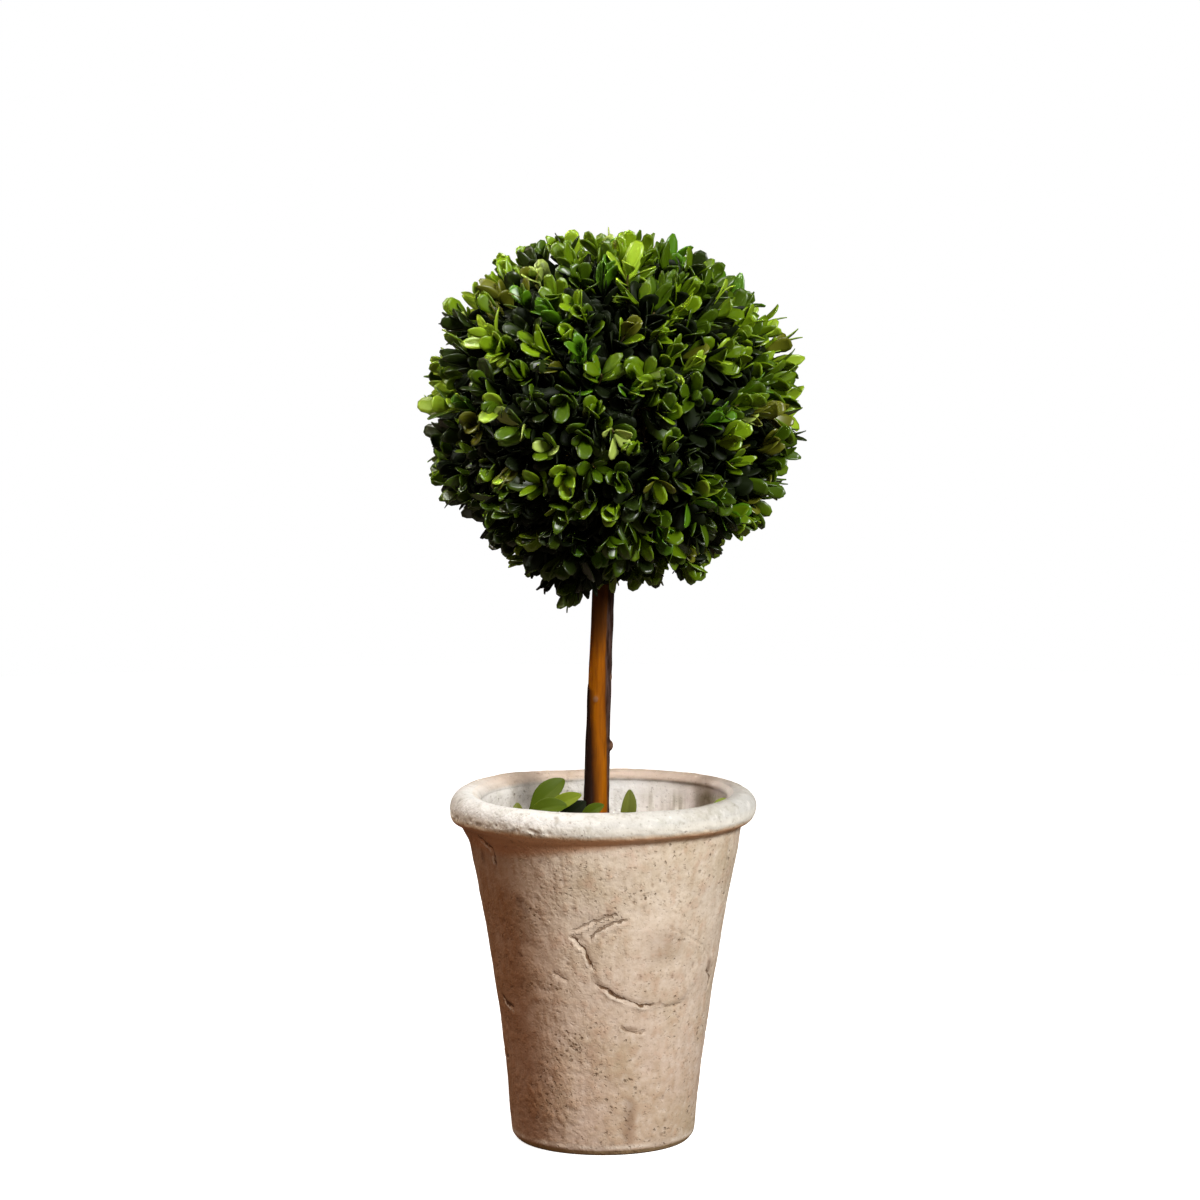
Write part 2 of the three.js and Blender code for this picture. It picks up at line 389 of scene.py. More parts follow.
# Cuts, folds and cracks that the potter's hands and the weather left: each a line of (degrees, height), how
# strong it is, and how high the burr on its lower or left side stands.
SCARS = [
    ([(-16, 128.8), (-10, 132.2), (-4, 135.4), (2, 138), (9, 138.8)], 0.7, 0.15),
    ([(-6.5, 123.6), (-5, 127.5), (-1, 131.5), (5, 134.8), (12, 136)], 0.85, 0.2),
    ([(-16, 127.5), (-12.5, 124), (-11, 121), (-8.5, 119), (-7.6, 115), (-5.8, 110.5), (-3, 106)], 1.2, 0.35),
    ([(-12, 126.5), (-8.6, 123), (-9.4, 120.6)], 0.7, 0.3),
    ([(-5, 99.6), (1.3, 97), (5, 93), (12, 89.6), (20, 86.4), (29, 86.2)], 1.2, 0.2),
    ([(26, 86.4), (38, 84), (46, 84.6)], 0.25, 0),
    ([(9, 76), (12, 72.4), (17.7, 70.8), (24, 71.6)], 0.6, 0.1),
    ([(-70, 85.4), (-62, 81.5), (-54, 79.2)], 1.0, 0),
    ([(-26, 105.4), (-21, 102), (-17, 101)], 0.6, 0.1),
    ([(-63, 177), (-53.5, 171.5), (-52, 160)], 0.85, 0),
    ([(28, 133), (44, 123), (56, 115.5), (66, 105)], 0.18, 0.2),
    ([(63, 101), (70, 95), (71, 88)], 0.8, 0.2),
    ([(117, 119), (131, 113), (139, 104), (142, 94)], 0.9, 0.3),
    ([(168, 62.4), (182, 58), (196, 59), (207, 65)], 0.8, 0.3),
    ([(238, 141), (229, 131), (225, 119)], 0.8, 0.2),
    ([(265, 53), (280, 47), (290, 49.4)], 0.7, 0.2),
]
SCAR_REACH = 4.5                 # how far from its line a scar is felt at all
SCAR_HALF_WIDTH, BURR_OFFSET = 1.3, 2.1
# A slab of clay pressed on by hand stands a little proud: its middle, half sizes and thickness. It is sunk
# in towards its top and its right.
SLAB_MIDDLE, SLAB_HALF, SLAB_HEIGHT = (28, 110), (38.5, 27), 0.9
# Brown wear and run marks: degrees, height, half width and half height, and how dark.
SMUDGES = [
    (15.7, 20, 4.4, 15, 0.62), (66, 102, 3.4, 5, 0.8), (-40, 143, 4, 4, 0.6), (-37, 137.5, 3, 3, 0.6),
    (30, 120, 17, 12, 0.42), (-7, 111, 1.6, 2.2, 1), (47, 86, 6, 2.5, 0.4), (14, 73, 5, 2, 0.65),
    (-63, 165, 3, 5, 0.6), (-27, 168, 1.3, 1.3, 1), (150, 60, 3, 22, 0.4), (215, 120, 6, 7, 0.6),
]
# Beds of pits where grit broke out of the clay: degrees, height, half width and half height.
PIT_BEDS = [
    (-33, 137, 9, 8), (-27, 95, 9, 7), (-20, 66, 11, 12), (-36, 40, 10, 16), (20, 148, 16, 6),
    (95, 60, 14, 18), (160, 130, 16, 10), (-120, 80, 12, 24), (200, 30, 18, 9),
]
BED_DEPTH = 0.42
PITS, PIT_TOP = 150, 176
PIT_WIDTHS, PIT_DEPTHS = (0.6, 1.3), (0.2, 0.55)
CHIP_DEPTH, NICK_DEPTH, NICK_HEIGHT = 0.6, 1.0, 185


class Wall:
    """The pot's points unrolled: degrees round from the front, height and radius in mm, and what each is."""

    def __init__(self, points):
        self.points = points
        self.degrees, self.height = around(points), points[:, 2] / MM
        self.radius = np.hypot(points[:, 0], points[:, 1]) / MM
        self.flank = -np.sin(np.radians(self.degrees))
        outside = body_radius(np.clip(points[:, 2], 0, NECK_Z)) / MM
        low, high = MOUTH_HEIGHTS
        mouth = (self.height > low) & (self.height < high) & (self.radius < MOUTH_RADIUS)
        self.hollow = (self.radius < outside - 3) & (self.height > 5) | mouth
        low, high = WALL_HEIGHTS
        self.side = ~self.hollow & (self.height > low) & (self.height < high)
        self.lip = ~self.hollow & (self.height > LIP_EDGE)
        self.jag = self.rough(7, 4)

    def rough(self, size, seed):
        return rough(self.points, size, seed)

    def across(self, degrees):
        """How far each point is to the right of a line up the wall, in mm."""
        return turn_between(self.degrees, degrees) * self.radius * math.pi / 180

    def along(self, line):
        """For each point: its distance in mm to a line drawn on the wall, and how far along it lies.

        The distance is above 0 over the line, where it is drawn from left to right, and below 0 under it.
        """
        nearest = np.full(len(self.points), 1e9)
        signed = np.full(len(self.points), 1e9)
        place = np.zeros(len(self.points))
        per_degree = self.radius * math.pi / 180
        legs = len(line) - 1
        for leg, ((d0, h0), (d1, h1)) in enumerate(zip(line, line[1:])):
            across = turn_between(self.degrees, d0) * per_degree
            up = self.height - h0
            run = turn_between(d1, d0) * per_degree
            rise = h1 - h0
            share = np.clip((across * run + up * rise) / (run ** 2 + rise ** 2), 0, 1)
            far = np.hypot(across - share * run, up - share * rise)
            closer = far < nearest
            nearest = np.where(closer, far, nearest)
            signed = np.where(closer, far * np.where(run * up - rise * across < 0, -1, 1), signed)
            place = np.where(closer, (leg + share) / legs, place)
        return signed, place


# Each of the next five tells how far it moves the wall's points outwards, in mm, and some leave marks for
# the finish.

def throw(wall):
    """The wobble of thrown clay, the filled-up undercut, and the left flank."""
    out = sum(high * wall.rough(wide, seed) for high, wide, seed in WOBBLE)
    out *= ease(1, 9, wall.height) * np.where(wall.hollow, 0.5, 1)
    to_left = (0.5 - 0.5 * np.sin(np.radians(wall.degrees + 15))) ** 1.5
    out += EDGE_FILLED * to_left * band((178, 188), (191.5, 193.2), wall.height) * wall.hollow
    on_flank = bell(turn_between(wall.degrees, FLANK), FLANK_HALF) * ~wall.hollow
    out += FLANK_FLARE * band(FLARE_RISE, FLARE_FALL, wall.height) * on_flank
    return out - FLANK_WEAR * band(WEAR_RISE, WEAR_FALL, wall.height) * on_flank


def scar(wall, marks):
    """Each scar a jagged groove with a burr beside it, shallower towards its ends."""
    out = np.zeros(len(wall.points))
    marks["scar"] = np.full(len(out), SCAR_REACH)
    marks["hold"] = np.zeros(len(out))
    for line, strength, burr in SCARS:
        far, place = wall.along(line)
        near = (1 - ease(SCAR_REACH / 2, SCAR_REACH, np.abs(far))) * wall.side
        near = near * band((0, 0.14), (0.86, 1), place)
        ridge = burr * bell(far + BURR_OFFSET, SCAR_HALF_WIDTH) * (1 + wall.jag)
        groove = 0.8 * strength * bell(far + 0.3 * wall.jag, SCAR_HALF_WIDTH + 0.5 * wall.jag)
        out += near * (ridge - groove)
        mine = near * strength > marks["hold"]
        marks["scar"] = np.where(mine, far, marks["scar"])
        marks["hold"] = np.where(mine, near * strength, marks["hold"])
    return out


def press_slab(wall):
    """The slab's edge is a low step, lost where it is sunk in."""
    across, up = wall.across(SLAB_MIDDLE[0]), wall.height - SLAB_MIDDLE[1]
    from_middle = np.hypot(across / SLAB_HALF[0], up / SLAB_HALF[1]) + 0.03 * wall.jag
    sunk = (1 - 0.9 * ease(4, 24, up)) * (1 - 0.6 * ease(6, 34, across))
    return SLAB_HEIGHT * sunk * (1 - ease(0.88, 1.02, from_middle)) * wall.side


def break_grit_out(wall, marks):
    """Single pits and whole beds of them, and the smudges between."""
    out = np.zeros(len(wall.points))
    dirt, beds = out.copy(), out.copy()
    chance = random.Random(11)
    for _ in range(PITS):
        where = chance.uniform(-180, 180)
        level = PIT_TOP * chance.random() ** 0.8
        wide = chance.uniform(*PIT_WIDTHS)
        pit = bell(np.hypot(wall.across(where), (wall.height - level) * 0.8), wide) * wall.side
        out -= chance.uniform(*PIT_DEPTHS) * pit
        dirt = np.maximum(dirt, 0.7 * pit)
    for where, level, wide, tall, dark in SMUDGES:
        smudge = bell(wall.across(where) + wall.jag, wide) * bell(wall.height - level, tall, 4)
        dirt = np.maximum(dirt, dark * smudge * wall.side)
    for where, level, wide, tall in PIT_BEDS:
        bed = bell(wall.across(where), wide) * bell(wall.height - level, tall)
        beds = np.maximum(beds, bed * wall.side)
    marks["dirt"], marks["beds"] = dirt, beds
    return out + BED_DEPTH * beds * wall.rough(3.6, 14)


def chip_lip(wall, marks):
    """Flaked limewash all over the lip, and nicks along its lower edge, most of them at the left."""
    chips = ease(0.36, 0.6, wall.rough(4.5, 8)) * ease(0.0, 0.3, wall.rough(26, 9)) * wall.lip
    nicks = ease(0.08, 0.4, wall.rough(3.6, 15)) * bell(wall.height - NICK_HEIGHT, 2.4) * wall.lip
    nicks *= 0.3 + 0.7 * ease(0.0, 0.8, wall.flank)
    marks["dirt"] = np.maximum(marks["dirt"], np.maximum(0.6 * chips, 0.5 * nicks))
    return -CHIP_DEPTH * chips - NICK_DEPTH * nicks


def weather(pot):
    """Gives the pot its wobble, lumps, scars and pits, and marks for the finish what lies where."""
    points = points_of(pot)
    outward = normals_of(pot)
    wall = Wall(points)
    marks = {"flank": wall.flank, "hollow": wall.hollow, "over_edge": wall.height - LIP_EDGE}
    out = throw(wall) + scar(wall, marks) + press_slab(wall) + break_grit_out(wall, marks)
    out += chip_lip(wall, marks)
    # The crease under the lip's inner edge is marked for painted shade, strongest at the right.
    at_right = 0.35 + 0.65 * ease(-0.5, 0.8, np.sin(np.radians(wall.degrees - 10)))
    crease = bell(wall.height - CREASE_HEIGHT, 1.5 - 0.8 * at_right)
    marks["crease"] = crease * (wall.radius < MOUTH_RADIUS) * at_right
    moved = points + outward * (out * MM)[:, None]
    moved[:, 2] = np.where(wall.height < 0.3, 0, np.maximum(moved[:, 2], 0))
    moved[:, 2] += LIP_WAVE * MM * rough(moved, LIP_WAVE_WIDTH, 12) * ease(120, 190, wall.height)
    move_points(pot, moved)
    shade(pot, **marks)


def earthenware():
    """Old low-fired earthenware under worn limewash.

    The eye gets a chalky, matt, sandy skin: tan to pale clay through a thin wash, full of fine pits, thick
    white wash left on the lip and in the hollow, and rust-brown bare clay in the crease under the lip. Light
    and shade are painted in too: shade on the left flank, in the scars' grooves and in the creases under the
    lip, and light on the lip's left and lower edge, in the hollow's right side and along the foot's chamfer.
    """
    material, tree, shader = new_material("limewashed_earthenware", 0.95, 0.2)
    here = add(tree, "TexCoord").outputs["Object"]
    x, y, height = add(tree, "SeparateXYZ", {0: here}).outputs
    scar_line, hold, dirt, beds, flank, hollow, over_edge, crease = (
        add(tree, "Attribute", attribute_name=name).outputs["Fac"]
        for name in ("scar", "hold", "dirt", "beds", "flank", "hollow", "over_edge", "crease")
    )
    # Mottles: where, the size of a lump in mm, how many finer sizes it has, and how strong those are.
    drawn = add(tree, "Mapping", {"Vector": here, "Scale": (1, 1, 0.1)})
    cloud, blotch, patch, grain, flake, streak = (
        add(tree, "TexNoise", {"Vector": at, "Scale": 1 / (size * MM), "Detail": finer, "Roughness": strong})
        for at, size, finer, strong in (
            (here, 36, 5, 0.6), (here, 9, 5, 0.6), (here, 4.6, 3, 0.55), (here, 2.2, 3, 0.6),
            (here, 1.9, 3, 0.5), (drawn, 6, 3, 0.5))
    )

    # Chips of the skin, holes left by grit 2.7 mm apart, and specks 1.5 mm apart, all a little crooked.
    rugged = overlap(tree, (x, 0.02, -0.035, 0.25, 1), (cloud, 0.36, 0.56, 0.35, 1))
    calm = overlap(tree, (over_edge, 3, 8, 1, 0.4))
    chips = overlap(tree, (flake, 0.62, 0.68), (blotch, 0.40, 0.58), (rugged,), (calm,))
    crooked = add(tree, "TexNoise", {"Vector": here, "Scale": 1 / (2 * MM)}).outputs["Color"]
    crooked = add(tree, "Mix", {0: 0.0022, 6: here, 7: crooked}, data_type="RGBA")
    grit, sand = (
        add(tree, "TexVoronoi", {"Vector": crooked, "Scale": 1 / (apart * MM)}) for apart in (2.7, 1.5))
    wide = add(tree, "MapRange", {0: grain, 1: 0.36, 2: 0.64, 3: 0.5, 4: 1.5})
    far_from_grit, far_from_sand = (
        add(tree, "Math", {0: each, 1: wide}, operation="DIVIDE") for each in (grit, sand))
    lot = add(tree, "SeparateColor", {0: grit.outputs["Color"]})
    lot = add(tree, "Math", {0: beds, 1: 0.55, 2: lot}, operation="MULTIPLY_ADD")
    often = add(tree, "Math", {0: overlap(tree, (cloud, 0.38, 0.55)), 1: beds}, operation="MAXIMUM")
    holes = overlap(tree, (far_from_grit, 0.38, 0.12), (lot, 0.66, 0.9), (often,), (calm,))
    sand_lot = add(tree, "SeparateColor", {0: sand.outputs["Color"]}).outputs["Green"]
    specks = overlap(tree, (far_from_sand, 0.45, 0.15), (sand_lot, 0.70, 0.80))

    # In the ramps, x, y and height are in metres, and over_edge, edge, the band's depth under the lip and far
    # in mm.
    clay = washed(tree, "#CBB5A2", [
        ("#DBCCB8", (height, 0.03, 0.15)),
        ("#B3A07D", (cloud, 0.42, 0.66, 0, 0.55)),
        ("#CBA48C", (blotch, 0.50, 0.68, 0, 0.38)),
        ("#A58B6C", (patch, 0.50, 0.68, 0, 0.3)),
        ("#E8DACB", (patch, 0.46, 0.30, 0, 0.35)),
        ("#AD957A", (streak, 0.52, 0.72, 0, 0.25)),
        ("#94805F", (grain, 0.52, 0.70, 0, 0.18)),
        # The left flank is painted a darker brown as shade.
        ("#82522A", (flank, 0.30, 0.74, 0, 0.8), (cloud, 0.30, 0.56, 0.82, 1)),
        # A pale band along the foot's chamfer is a painted highlight.
        ("#E9DCCB", (height, 0.0036, 0.0046), (height, 0.0072, 0.0052), (blotch, 0.4, 0.6, 0.1, 0.7)),
        ("#A0845A", (height, 0.0036, 0.0026, 0, 0.8)),
    ])

    # Under the limewash lies a band of rust-brown bare clay, whose edge wanders by a few mm. Towards the left
    # the band reaches lower, as painted shade; it is painted light near the lip, with a tan strip at the
    # limewash's edge, and darker further down and on the left flank, as shade.
    wander = add(tree, "Math", {0: blotch, 1: 2.4, 2: -1.2}, operation="MULTIPLY_ADD")
    edge = add(tree, "Math", {0: over_edge, 1: wander})
    reach = add(tree, "MapRange", {0: x, 1: 0.02, 2: -0.05, 3: -5, 4: -16})
    rust_and_shade = add(tree, "Math", {0: edge, 1: reach}, operation="SUBTRACT")
    bare_clay_light_and_shade = washed(tree, "#DFB088", [
        ("#B98A68", (flank, 0.55, 0.9)),
        ("#9C6F50", (edge, -3.5, -9, 0, 0.8)),
    ])
    # The limewash is painted lighter towards the left and along the lip's lower edge, as light.
    lime_and_painted_light = washed(tree, "#CBC9C2", [
        ("#C0BAAE", (cloud, 0.48, 0.66, 0, 0.8)),
        ("#E3E3E0", (x, 0.01, -0.05, 0, 0.95)),
        ("#B0AF9E", (blotch, 0.54, 0.72, 0, 0.45)),
        ("#9C9584", (patch, 0.54, 0.72, 0, 0.5)),
        ("#EFECE5", (patch, 0.44, 0.30, 0, 0.5)),
        ("#EFEADC", (over_edge, 8, 4, 0, 0.7)),
    ])
    run = overlap(tree, (x, 0.018, 0.034), (x, 0.052, 0.042))
    inside = washed(tree, "#E2DFDA", [
        ("#CFC8BE", (cloud, 0.42, 0.62)),
        ("#B3AFA0", (blotch, 0.50, 0.70, 0, 0.5)),
        # The hollow is painted lighter towards its right, as light in its shade.
        ("#F6EFE6", (x, 0.01, 0.05, 0, 0.9)),
        ("#F1E8DA", (x, -0.02, -0.05, 0, 0.35)),
        ("#8F8260", (height, 0.1885, 0.181), (streak, 0.48, 0.64), (run, 0, 1, 0.22, 0.72)),
        ("#7A7748", (x, 0.050, 0.060), (height, 0.191, 0.186), (blotch, 0.35, 0.60, 0.1, 0.75)),
        # Painted shade in the crease under the lip's inner edge.
        ("#6E6046", (crease,), (blotch, 0.36, 0.56, 0.15, 0.75)),
    ])
    far_rim = washed(tree, "#C5B3A3", [("#A8937E", (blotch,))])

    line_wander = add(tree, "Math", {0: patch, 1: 4, 2: -2}, operation="MULTIPLY_ADD")
    far = add(tree, "Math", {0: scar_line, 1: line_wander})
    narrow = add(tree, "MapRange", {0: blotch, 1: 0.38, 2: 0.62, 3: 0.45, 4: 1.7})
    off_line = add(tree, "Math", {0: far}, operation="ABSOLUTE")
    off_line = add(tree, "Math", {0: off_line, 1: narrow}, operation="DIVIDE")
    crack = overlap(tree, (off_line, 1, 0.4), (hold,), (grain, 0.30, 0.50, 0.35, 1))
    burr = overlap(tree, (far, -0.8, -1.3), (far, -3, -1.9), (hold,), (patch, 0.44, 0.56))
    # Dirt and the cracks are painted darker on the left flank, as shade.
    dirt_and_flank_shade, crack_shade = (washed(tree, pale, [(dark, (flank, 0.4, 0.75))]) for pale, dark in (
        ("#6E4E36", "#402817"), ("#6F533A", "#341F12")))
    skin = washed(tree, clay, [
        # The band under the limewash: bare clay, painted light near the lip and painted shade lower down and
        # to the left.
        (bare_clay_light_and_shade, (rust_and_shade, 0, 4.5, 0, 0.9)),
        ("#E6D0B2", (edge, -0.5, 0.6)),
        (lime_and_painted_light, (edge, 0.4, 2.4)),
        (inside, (hollow,)),
        (far_rim, (y, 0, 0.045, 0, 0.9), (height, 0.1905, 0.1925)),
        ("#7D6A52", (specks, 0, 1, 0, 0.24)),
        ("#6E563D", (holes,), (beds, 0.1, 0.8, 0.52, 0.9)),
        ("#76583F", (chips, 0, 1, 0, 0.55)),
        (dirt_and_flank_shade, (dirt, 0.15, 0.9, 0, 0.75)),
        ("#EDE2D2", (burr, 0, 2, 0, 0.8)),
        # The scars' grooves are painted dark as shade.
        (crack_shade, (crack, 0, 2, 0, 1.6)),
    ])

    # How far in mm each pattern stands out, or is cut in where that is below 0.
    normal = None
    for rise, relief in (
        (0.8, blotch), (1.7, overlap(tree, (patch,), (rugged,))),
        (0.35, overlap(tree, (grain,), (rugged,))), (-0.8, holes), (-0.7, chips), (-0.15, specks),
        (-0.9, crack), (0.2, burr),
    ):
        bump = {"Height": relief, "Distance": abs(rise) * MM, "Strength": 0.8}
        bump.update({"Normal": normal} if normal else {})
        normal = add(tree, "Bump", bump, invert=rise < 0)
    wire(tree, shader, {"Base Color": skin, "Normal": normal})
    return material


def make_pot():
    rings = pot_rings()
    let_go()
    bpy.ops.mesh.primitive_circle_add(vertices=POT_SIDES, radius=rings[0][0], location=(0, 0, 0))
    pot = named("clay_pot")
    bpy.ops.object.mode_set(mode="EDIT")
    bpy.ops.mesh.select_all(action="SELECT")
    raise_rings(rings)
    bpy.ops.mesh.edge_face_add()
    pick(lambda co: abs(co.z) < 1e-6)
    bpy.ops.mesh.edge_face_add()
    bpy.ops.mesh.inset(thickness=UNDERSIDE_INSET)
    bpy.ops.mesh.select_all(action="SELECT")
    bpy.ops.mesh.normals_make_consistent(inside=False)
    bpy.ops.object.mode_set(mode="OBJECT")
    subdivide(pot, 2)
    weather(pot)
    pot.data.shade_smooth()
    hand_over(pot, [earthenware()], "clay", "pot")


# ---------------------------------------------------------------- what fills the pot

FILL_LOW, FILL_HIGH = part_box("pot_fill")
FILL_RADIUS = (FILL_HIGH.x - FILL_LOW.x) / 2
FILL_DEPTH = 26 * MM
FILL_RINGS, FILL_RING_WIDTH = 26, 2.5 * MM
FILL_EDGE = 4 * MM               # near the wall the fill lies flatter, and no crumb lies there
FILL_LUMPS = [(1.5, 14, 21), (1.2, 5, 22), (0.8, 2.4, 23)]   # how high and how wide in mm, and a seed
FILL_TOP = FILL_HIGH.z - 1 * MM  # all points over this are the top's
CRUMBS, CRUMB_SIZES = 620, (0.9, 2.3)                        # how many, and their radius in mm


def peat():
    """Dry peat and moss crumbs: dark brown, dull and loose, with olive bits of moss among them."""
    material, tree, shader = new_material("dry_peat_and_moss", 0.95, 0.2)
    here = add(tree, "TexCoord").outputs["Object"]
    lump = add(tree, "TexNoise", {"Vector": here, "Scale": 1 / (9 * MM), "Detail": 6, "Roughness": 0.7})
    bit = add(tree, "TexVoronoi", {"Vector": here, "Scale": 1 / (2.8 * MM)})
    soil = washed(tree, "#3A2C1F", [
        ("#5E4A2E", (lump, 0.4, 0.62)),
        ("#5F6630", (lump, 0.56, 0.70, 0, 0.8)),
        ("#241A12", (bit, 0.1, 0.6, 0, 0.5)),
    ])
    bump = add(tree, "Bump", {"Height": bit, "Distance": 2 * MM, "Strength": 0.9}, invert=True)
    wire(tree, shader, {"Base Color": soil, "Normal": bump})
    return material


def make_fill():
    """The top of the fill, uneven and crumbly, closed underneath."""
    let_go()
    bpy.ops.mesh.primitive_cylinder_add(vertices=96, radius=FILL_RADIUS, depth=FILL_DEPTH,
                                        location=(0, 0, FILL_HIGH.z - FILL_DEPTH / 2))
    bed = named("pot_dressing")
    bpy.ops.object.transform_apply(location=True, rotation=False, scale=False)
    bpy.ops.object.mode_set(mode="EDIT")
    pick(lambda co: co.z > FILL_TOP)
    for _ in range(FILL_RINGS):
        bpy.ops.mesh.inset(thickness=FILL_RING_WIDTH)
    bpy.ops.object.mode_set(mode="OBJECT")
    points = points_of(bed)
    top = points[:, 2] > FILL_TOP
    inside = 1 - ease(FILL_RADIUS - FILL_EDGE, FILL_RADIUS, np.hypot(points[:, 0], points[:, 1]))
    lift = sum(high * rough(points, wide, seed) for high, wide, seed in FILL_LUMPS)
    points[:, 2] += lift * MM * top * (0.25 + 0.75 * inside)
    move_points(bed, points)
    bed.data.shade_smooth()
    hand_over(bed, [peat()], "fill", "pot_fill")


def make_crumbs():
    """Loose crumbs on the fill: one lump modelled once, then thrown on by the hundred."""
    let_go()
    bpy.ops.mesh.primitive_ico_sphere_add(subdivisions=1, radius=1, location=(0, 0, 0))
    lump = shape_of(named("crumb"))
    chance = random.Random(5)
    places = []
    for _ in range(CRUMBS):
        reach = (FILL_RADIUS - FILL_EDGE) * math.sqrt(chance.random())
        way = chance.uniform(0, math.tau)
        size = chance.uniform(*CRUMB_SIZES) * MM
        spin = chance.uniform(0, math.tau)
        turn = Matrix.Rotation(spin, 3, Vector((chance.random(), chance.random(), 0.4)))
        squash = Matrix.Diagonal((size, size * chance.uniform(0.6, 1), size * chance.uniform(0.5, 0.9)))
        place = (reach * math.cos(way), reach * math.sin(way), FILL_HIGH.z + 0.3 * size)
        places.append((0, np.array(turn @ squash), place, 0))
    crumbs = joined("dressing_crumbs", [lump], places, 1)
    hand_over(crumbs, [bpy.data.materials["dry_peat_and_moss"]], "fill", "pot_fill")


# ---------------------------------------------------------------- many copies of one form

def shape_of(piece):
    """The points and faces of a modelled form, after which the form itself is taken away."""
    faces = piece.data.polygons
    form = {
        "points": points_of(piece),
        "corners": np.concatenate([np.array(face.vertices) for face in faces]),
        "sizes": np.array([len(face.vertices) for face in faces]),
        "slots": np.array([face.material_index for face in faces]),
        "sharp": np.array([not face.use_smooth for face in faces]),
    }
    bpy.data.objects.remove(piece)
    return form


def joined(name, forms, places, slots_each):
    """One mesh of many copies. A place is (form, 3x3 turn and size, location, colour number)."""
    points, corners, sizes, slots, sharp = [], [], [], [], []
    count = 0
    for kind, form in enumerate(forms):
        mine = [place for place in places if place[0] == kind]
        if not mine:
            continue
        turns, where, colours = (np.array(column) for column in list(zip(*mine))[1:])
        placed = np.einsum("nij,pj->npi", turns, form["points"]) + where[:, None, :]
        points.append(placed.reshape(-1, 3))
        first = count + np.arange(len(mine)) * len(form["points"])
        corners.append((form["corners"][None, :] + first[:, None]).ravel())
        sizes.append(np.tile(form["sizes"], len(mine)))
        slots.append((form["slots"][None, :] + colours[:, None] * slots_each).ravel())
        sharp.append(np.tile(form["sharp"], len(mine)))
        count += len(mine) * len(form["points"])
    points, corners, sizes = np.concatenate(points), np.concatenate(corners), np.concatenate(sizes)
    mesh = bpy.data.meshes.new(name)
    mesh.vertices.add(len(points))
    mesh.vertices.foreach_set("co", points.astype(np.float32).ravel())
    mesh.loops.add(len(corners))
    mesh.loops.foreach_set("vertex_index", corners.astype(np.int32))
    mesh.polygons.add(len(sizes))
    mesh.polygons.foreach_set("loop_start", (np.cumsum(sizes) - sizes).astype(np.int32))
    mesh.update(calc_edges=True)
    mesh.polygons.foreach_set("material_index", np.concatenate(slots).astype(np.int32))
    mesh.polygons.foreach_set("use_smooth", ~np.concatenate(sharp))
    mesh.update()
    return put_in_scene(name, mesh)


# ---------------------------------------------------------------- the bare stem

STEM_LOW, STEM_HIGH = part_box("stem")
STEM_COURSE = [Vector(point) * MM for point in (
    (-6.2, 0, 98), (-4.5, 0, 168), (-3.2, 0.4, 211), (-2.4, 0.5, 246), (-0.8, 0, 283), (3.2, 0, 415))]
STEM_FOOT_RADIUS = 6.9 * MM
STEM_TOP_RADIUS = 5.6 * MM
STEM_FLARE = 0.9 * MM
STEM_FLARE_HEIGHT = 22 * MM
STEM_SIDES = 14
STEM_STEPS = 30
STEM_END_INSETS = (0.8 * MM, 1.5 * MM)
# Where the smooth inner bark shows between two edges of the old outer bark: height in mm, then the
# degrees round from the front (towards the right) of its left and right edge.
BARK_WINDOW = [(98, -20, 76), (192, -20, 74), (201, -21, 68), (218, -33, 60), (234, -52, 52), (245, -60, 44),
               (252.5, -64, 40), (256, -104, 38), (283, -106, 31), (300, -106, 33), (415, -106, 26)]
BALL_SHADE = (262, 292)          # height in mm over which the bark is painted darker with the ball's shadow
# How high in mm the old bark, its ridges and its flakes stand, the silk of the inner bark, and how deep the
# edge between them is.
OLD_BARK, RIDGE, FLAKE, SILK, BARK_EDGE = 0.35, 0.34, 0.30, 0.14, 0.55
# Stub of a pruned shoot and scars of buds: height and degrees as above, then how far out it stands,
# and its half width and half height, all in mm.
KNOTS = [
    (221.6, 80, 2.0, 2.4, 2.8),
    (248.3, -16, 0.9, 1.6, 1.9),
    (260, 70, 0.5, 1.6, 2.2),
    (272, 190, 1.3, 1.8, 2.4),
]


def swing(start, leave, end, arrive, share):
    """A point on the smooth line that leaves its start one way and arrives at its end another way."""
    return (
        start * (2 * share ** 3 - 3 * share ** 2 + 1) + leave * (share ** 3 - 2 * share ** 2 + share)
        + end * (3 * share ** 2 - 2 * share ** 3) + arrive * (share ** 3 - share ** 2)
    )


def course_at(z):
    """The middle of the stem at a height, on a smooth line through its course."""
    last = len(STEM_COURSE) - 1
    leg = next((i for i in range(last) if z <= STEM_COURSE[i + 1].z), last - 1)
    before, start, end, after = (STEM_COURSE[min(max(leg + k, 0), last)] for k in (-1, 0, 1, 2))
    share = min(max((z - start.z) / (end.z - start.z), 0), 1)
    middle = swing(start, (end - before) / 2, end, (after - start) / 2, share)
    return Vector((middle.x, middle.y, z))


def stem_radius(z):
    share = min(max((z - FILL_HIGH.z) / (STEM_HIGH.z - FILL_HIGH.z), 0), 1)
    flare = STEM_FLARE * math.exp(-max(z - FILL_HIGH.z, 0) / STEM_FLARE_HEIGHT)
    return STEM_FOOT_RADIUS + (STEM_TOP_RADIUS - STEM_FOOT_RADIUS) * share + flare


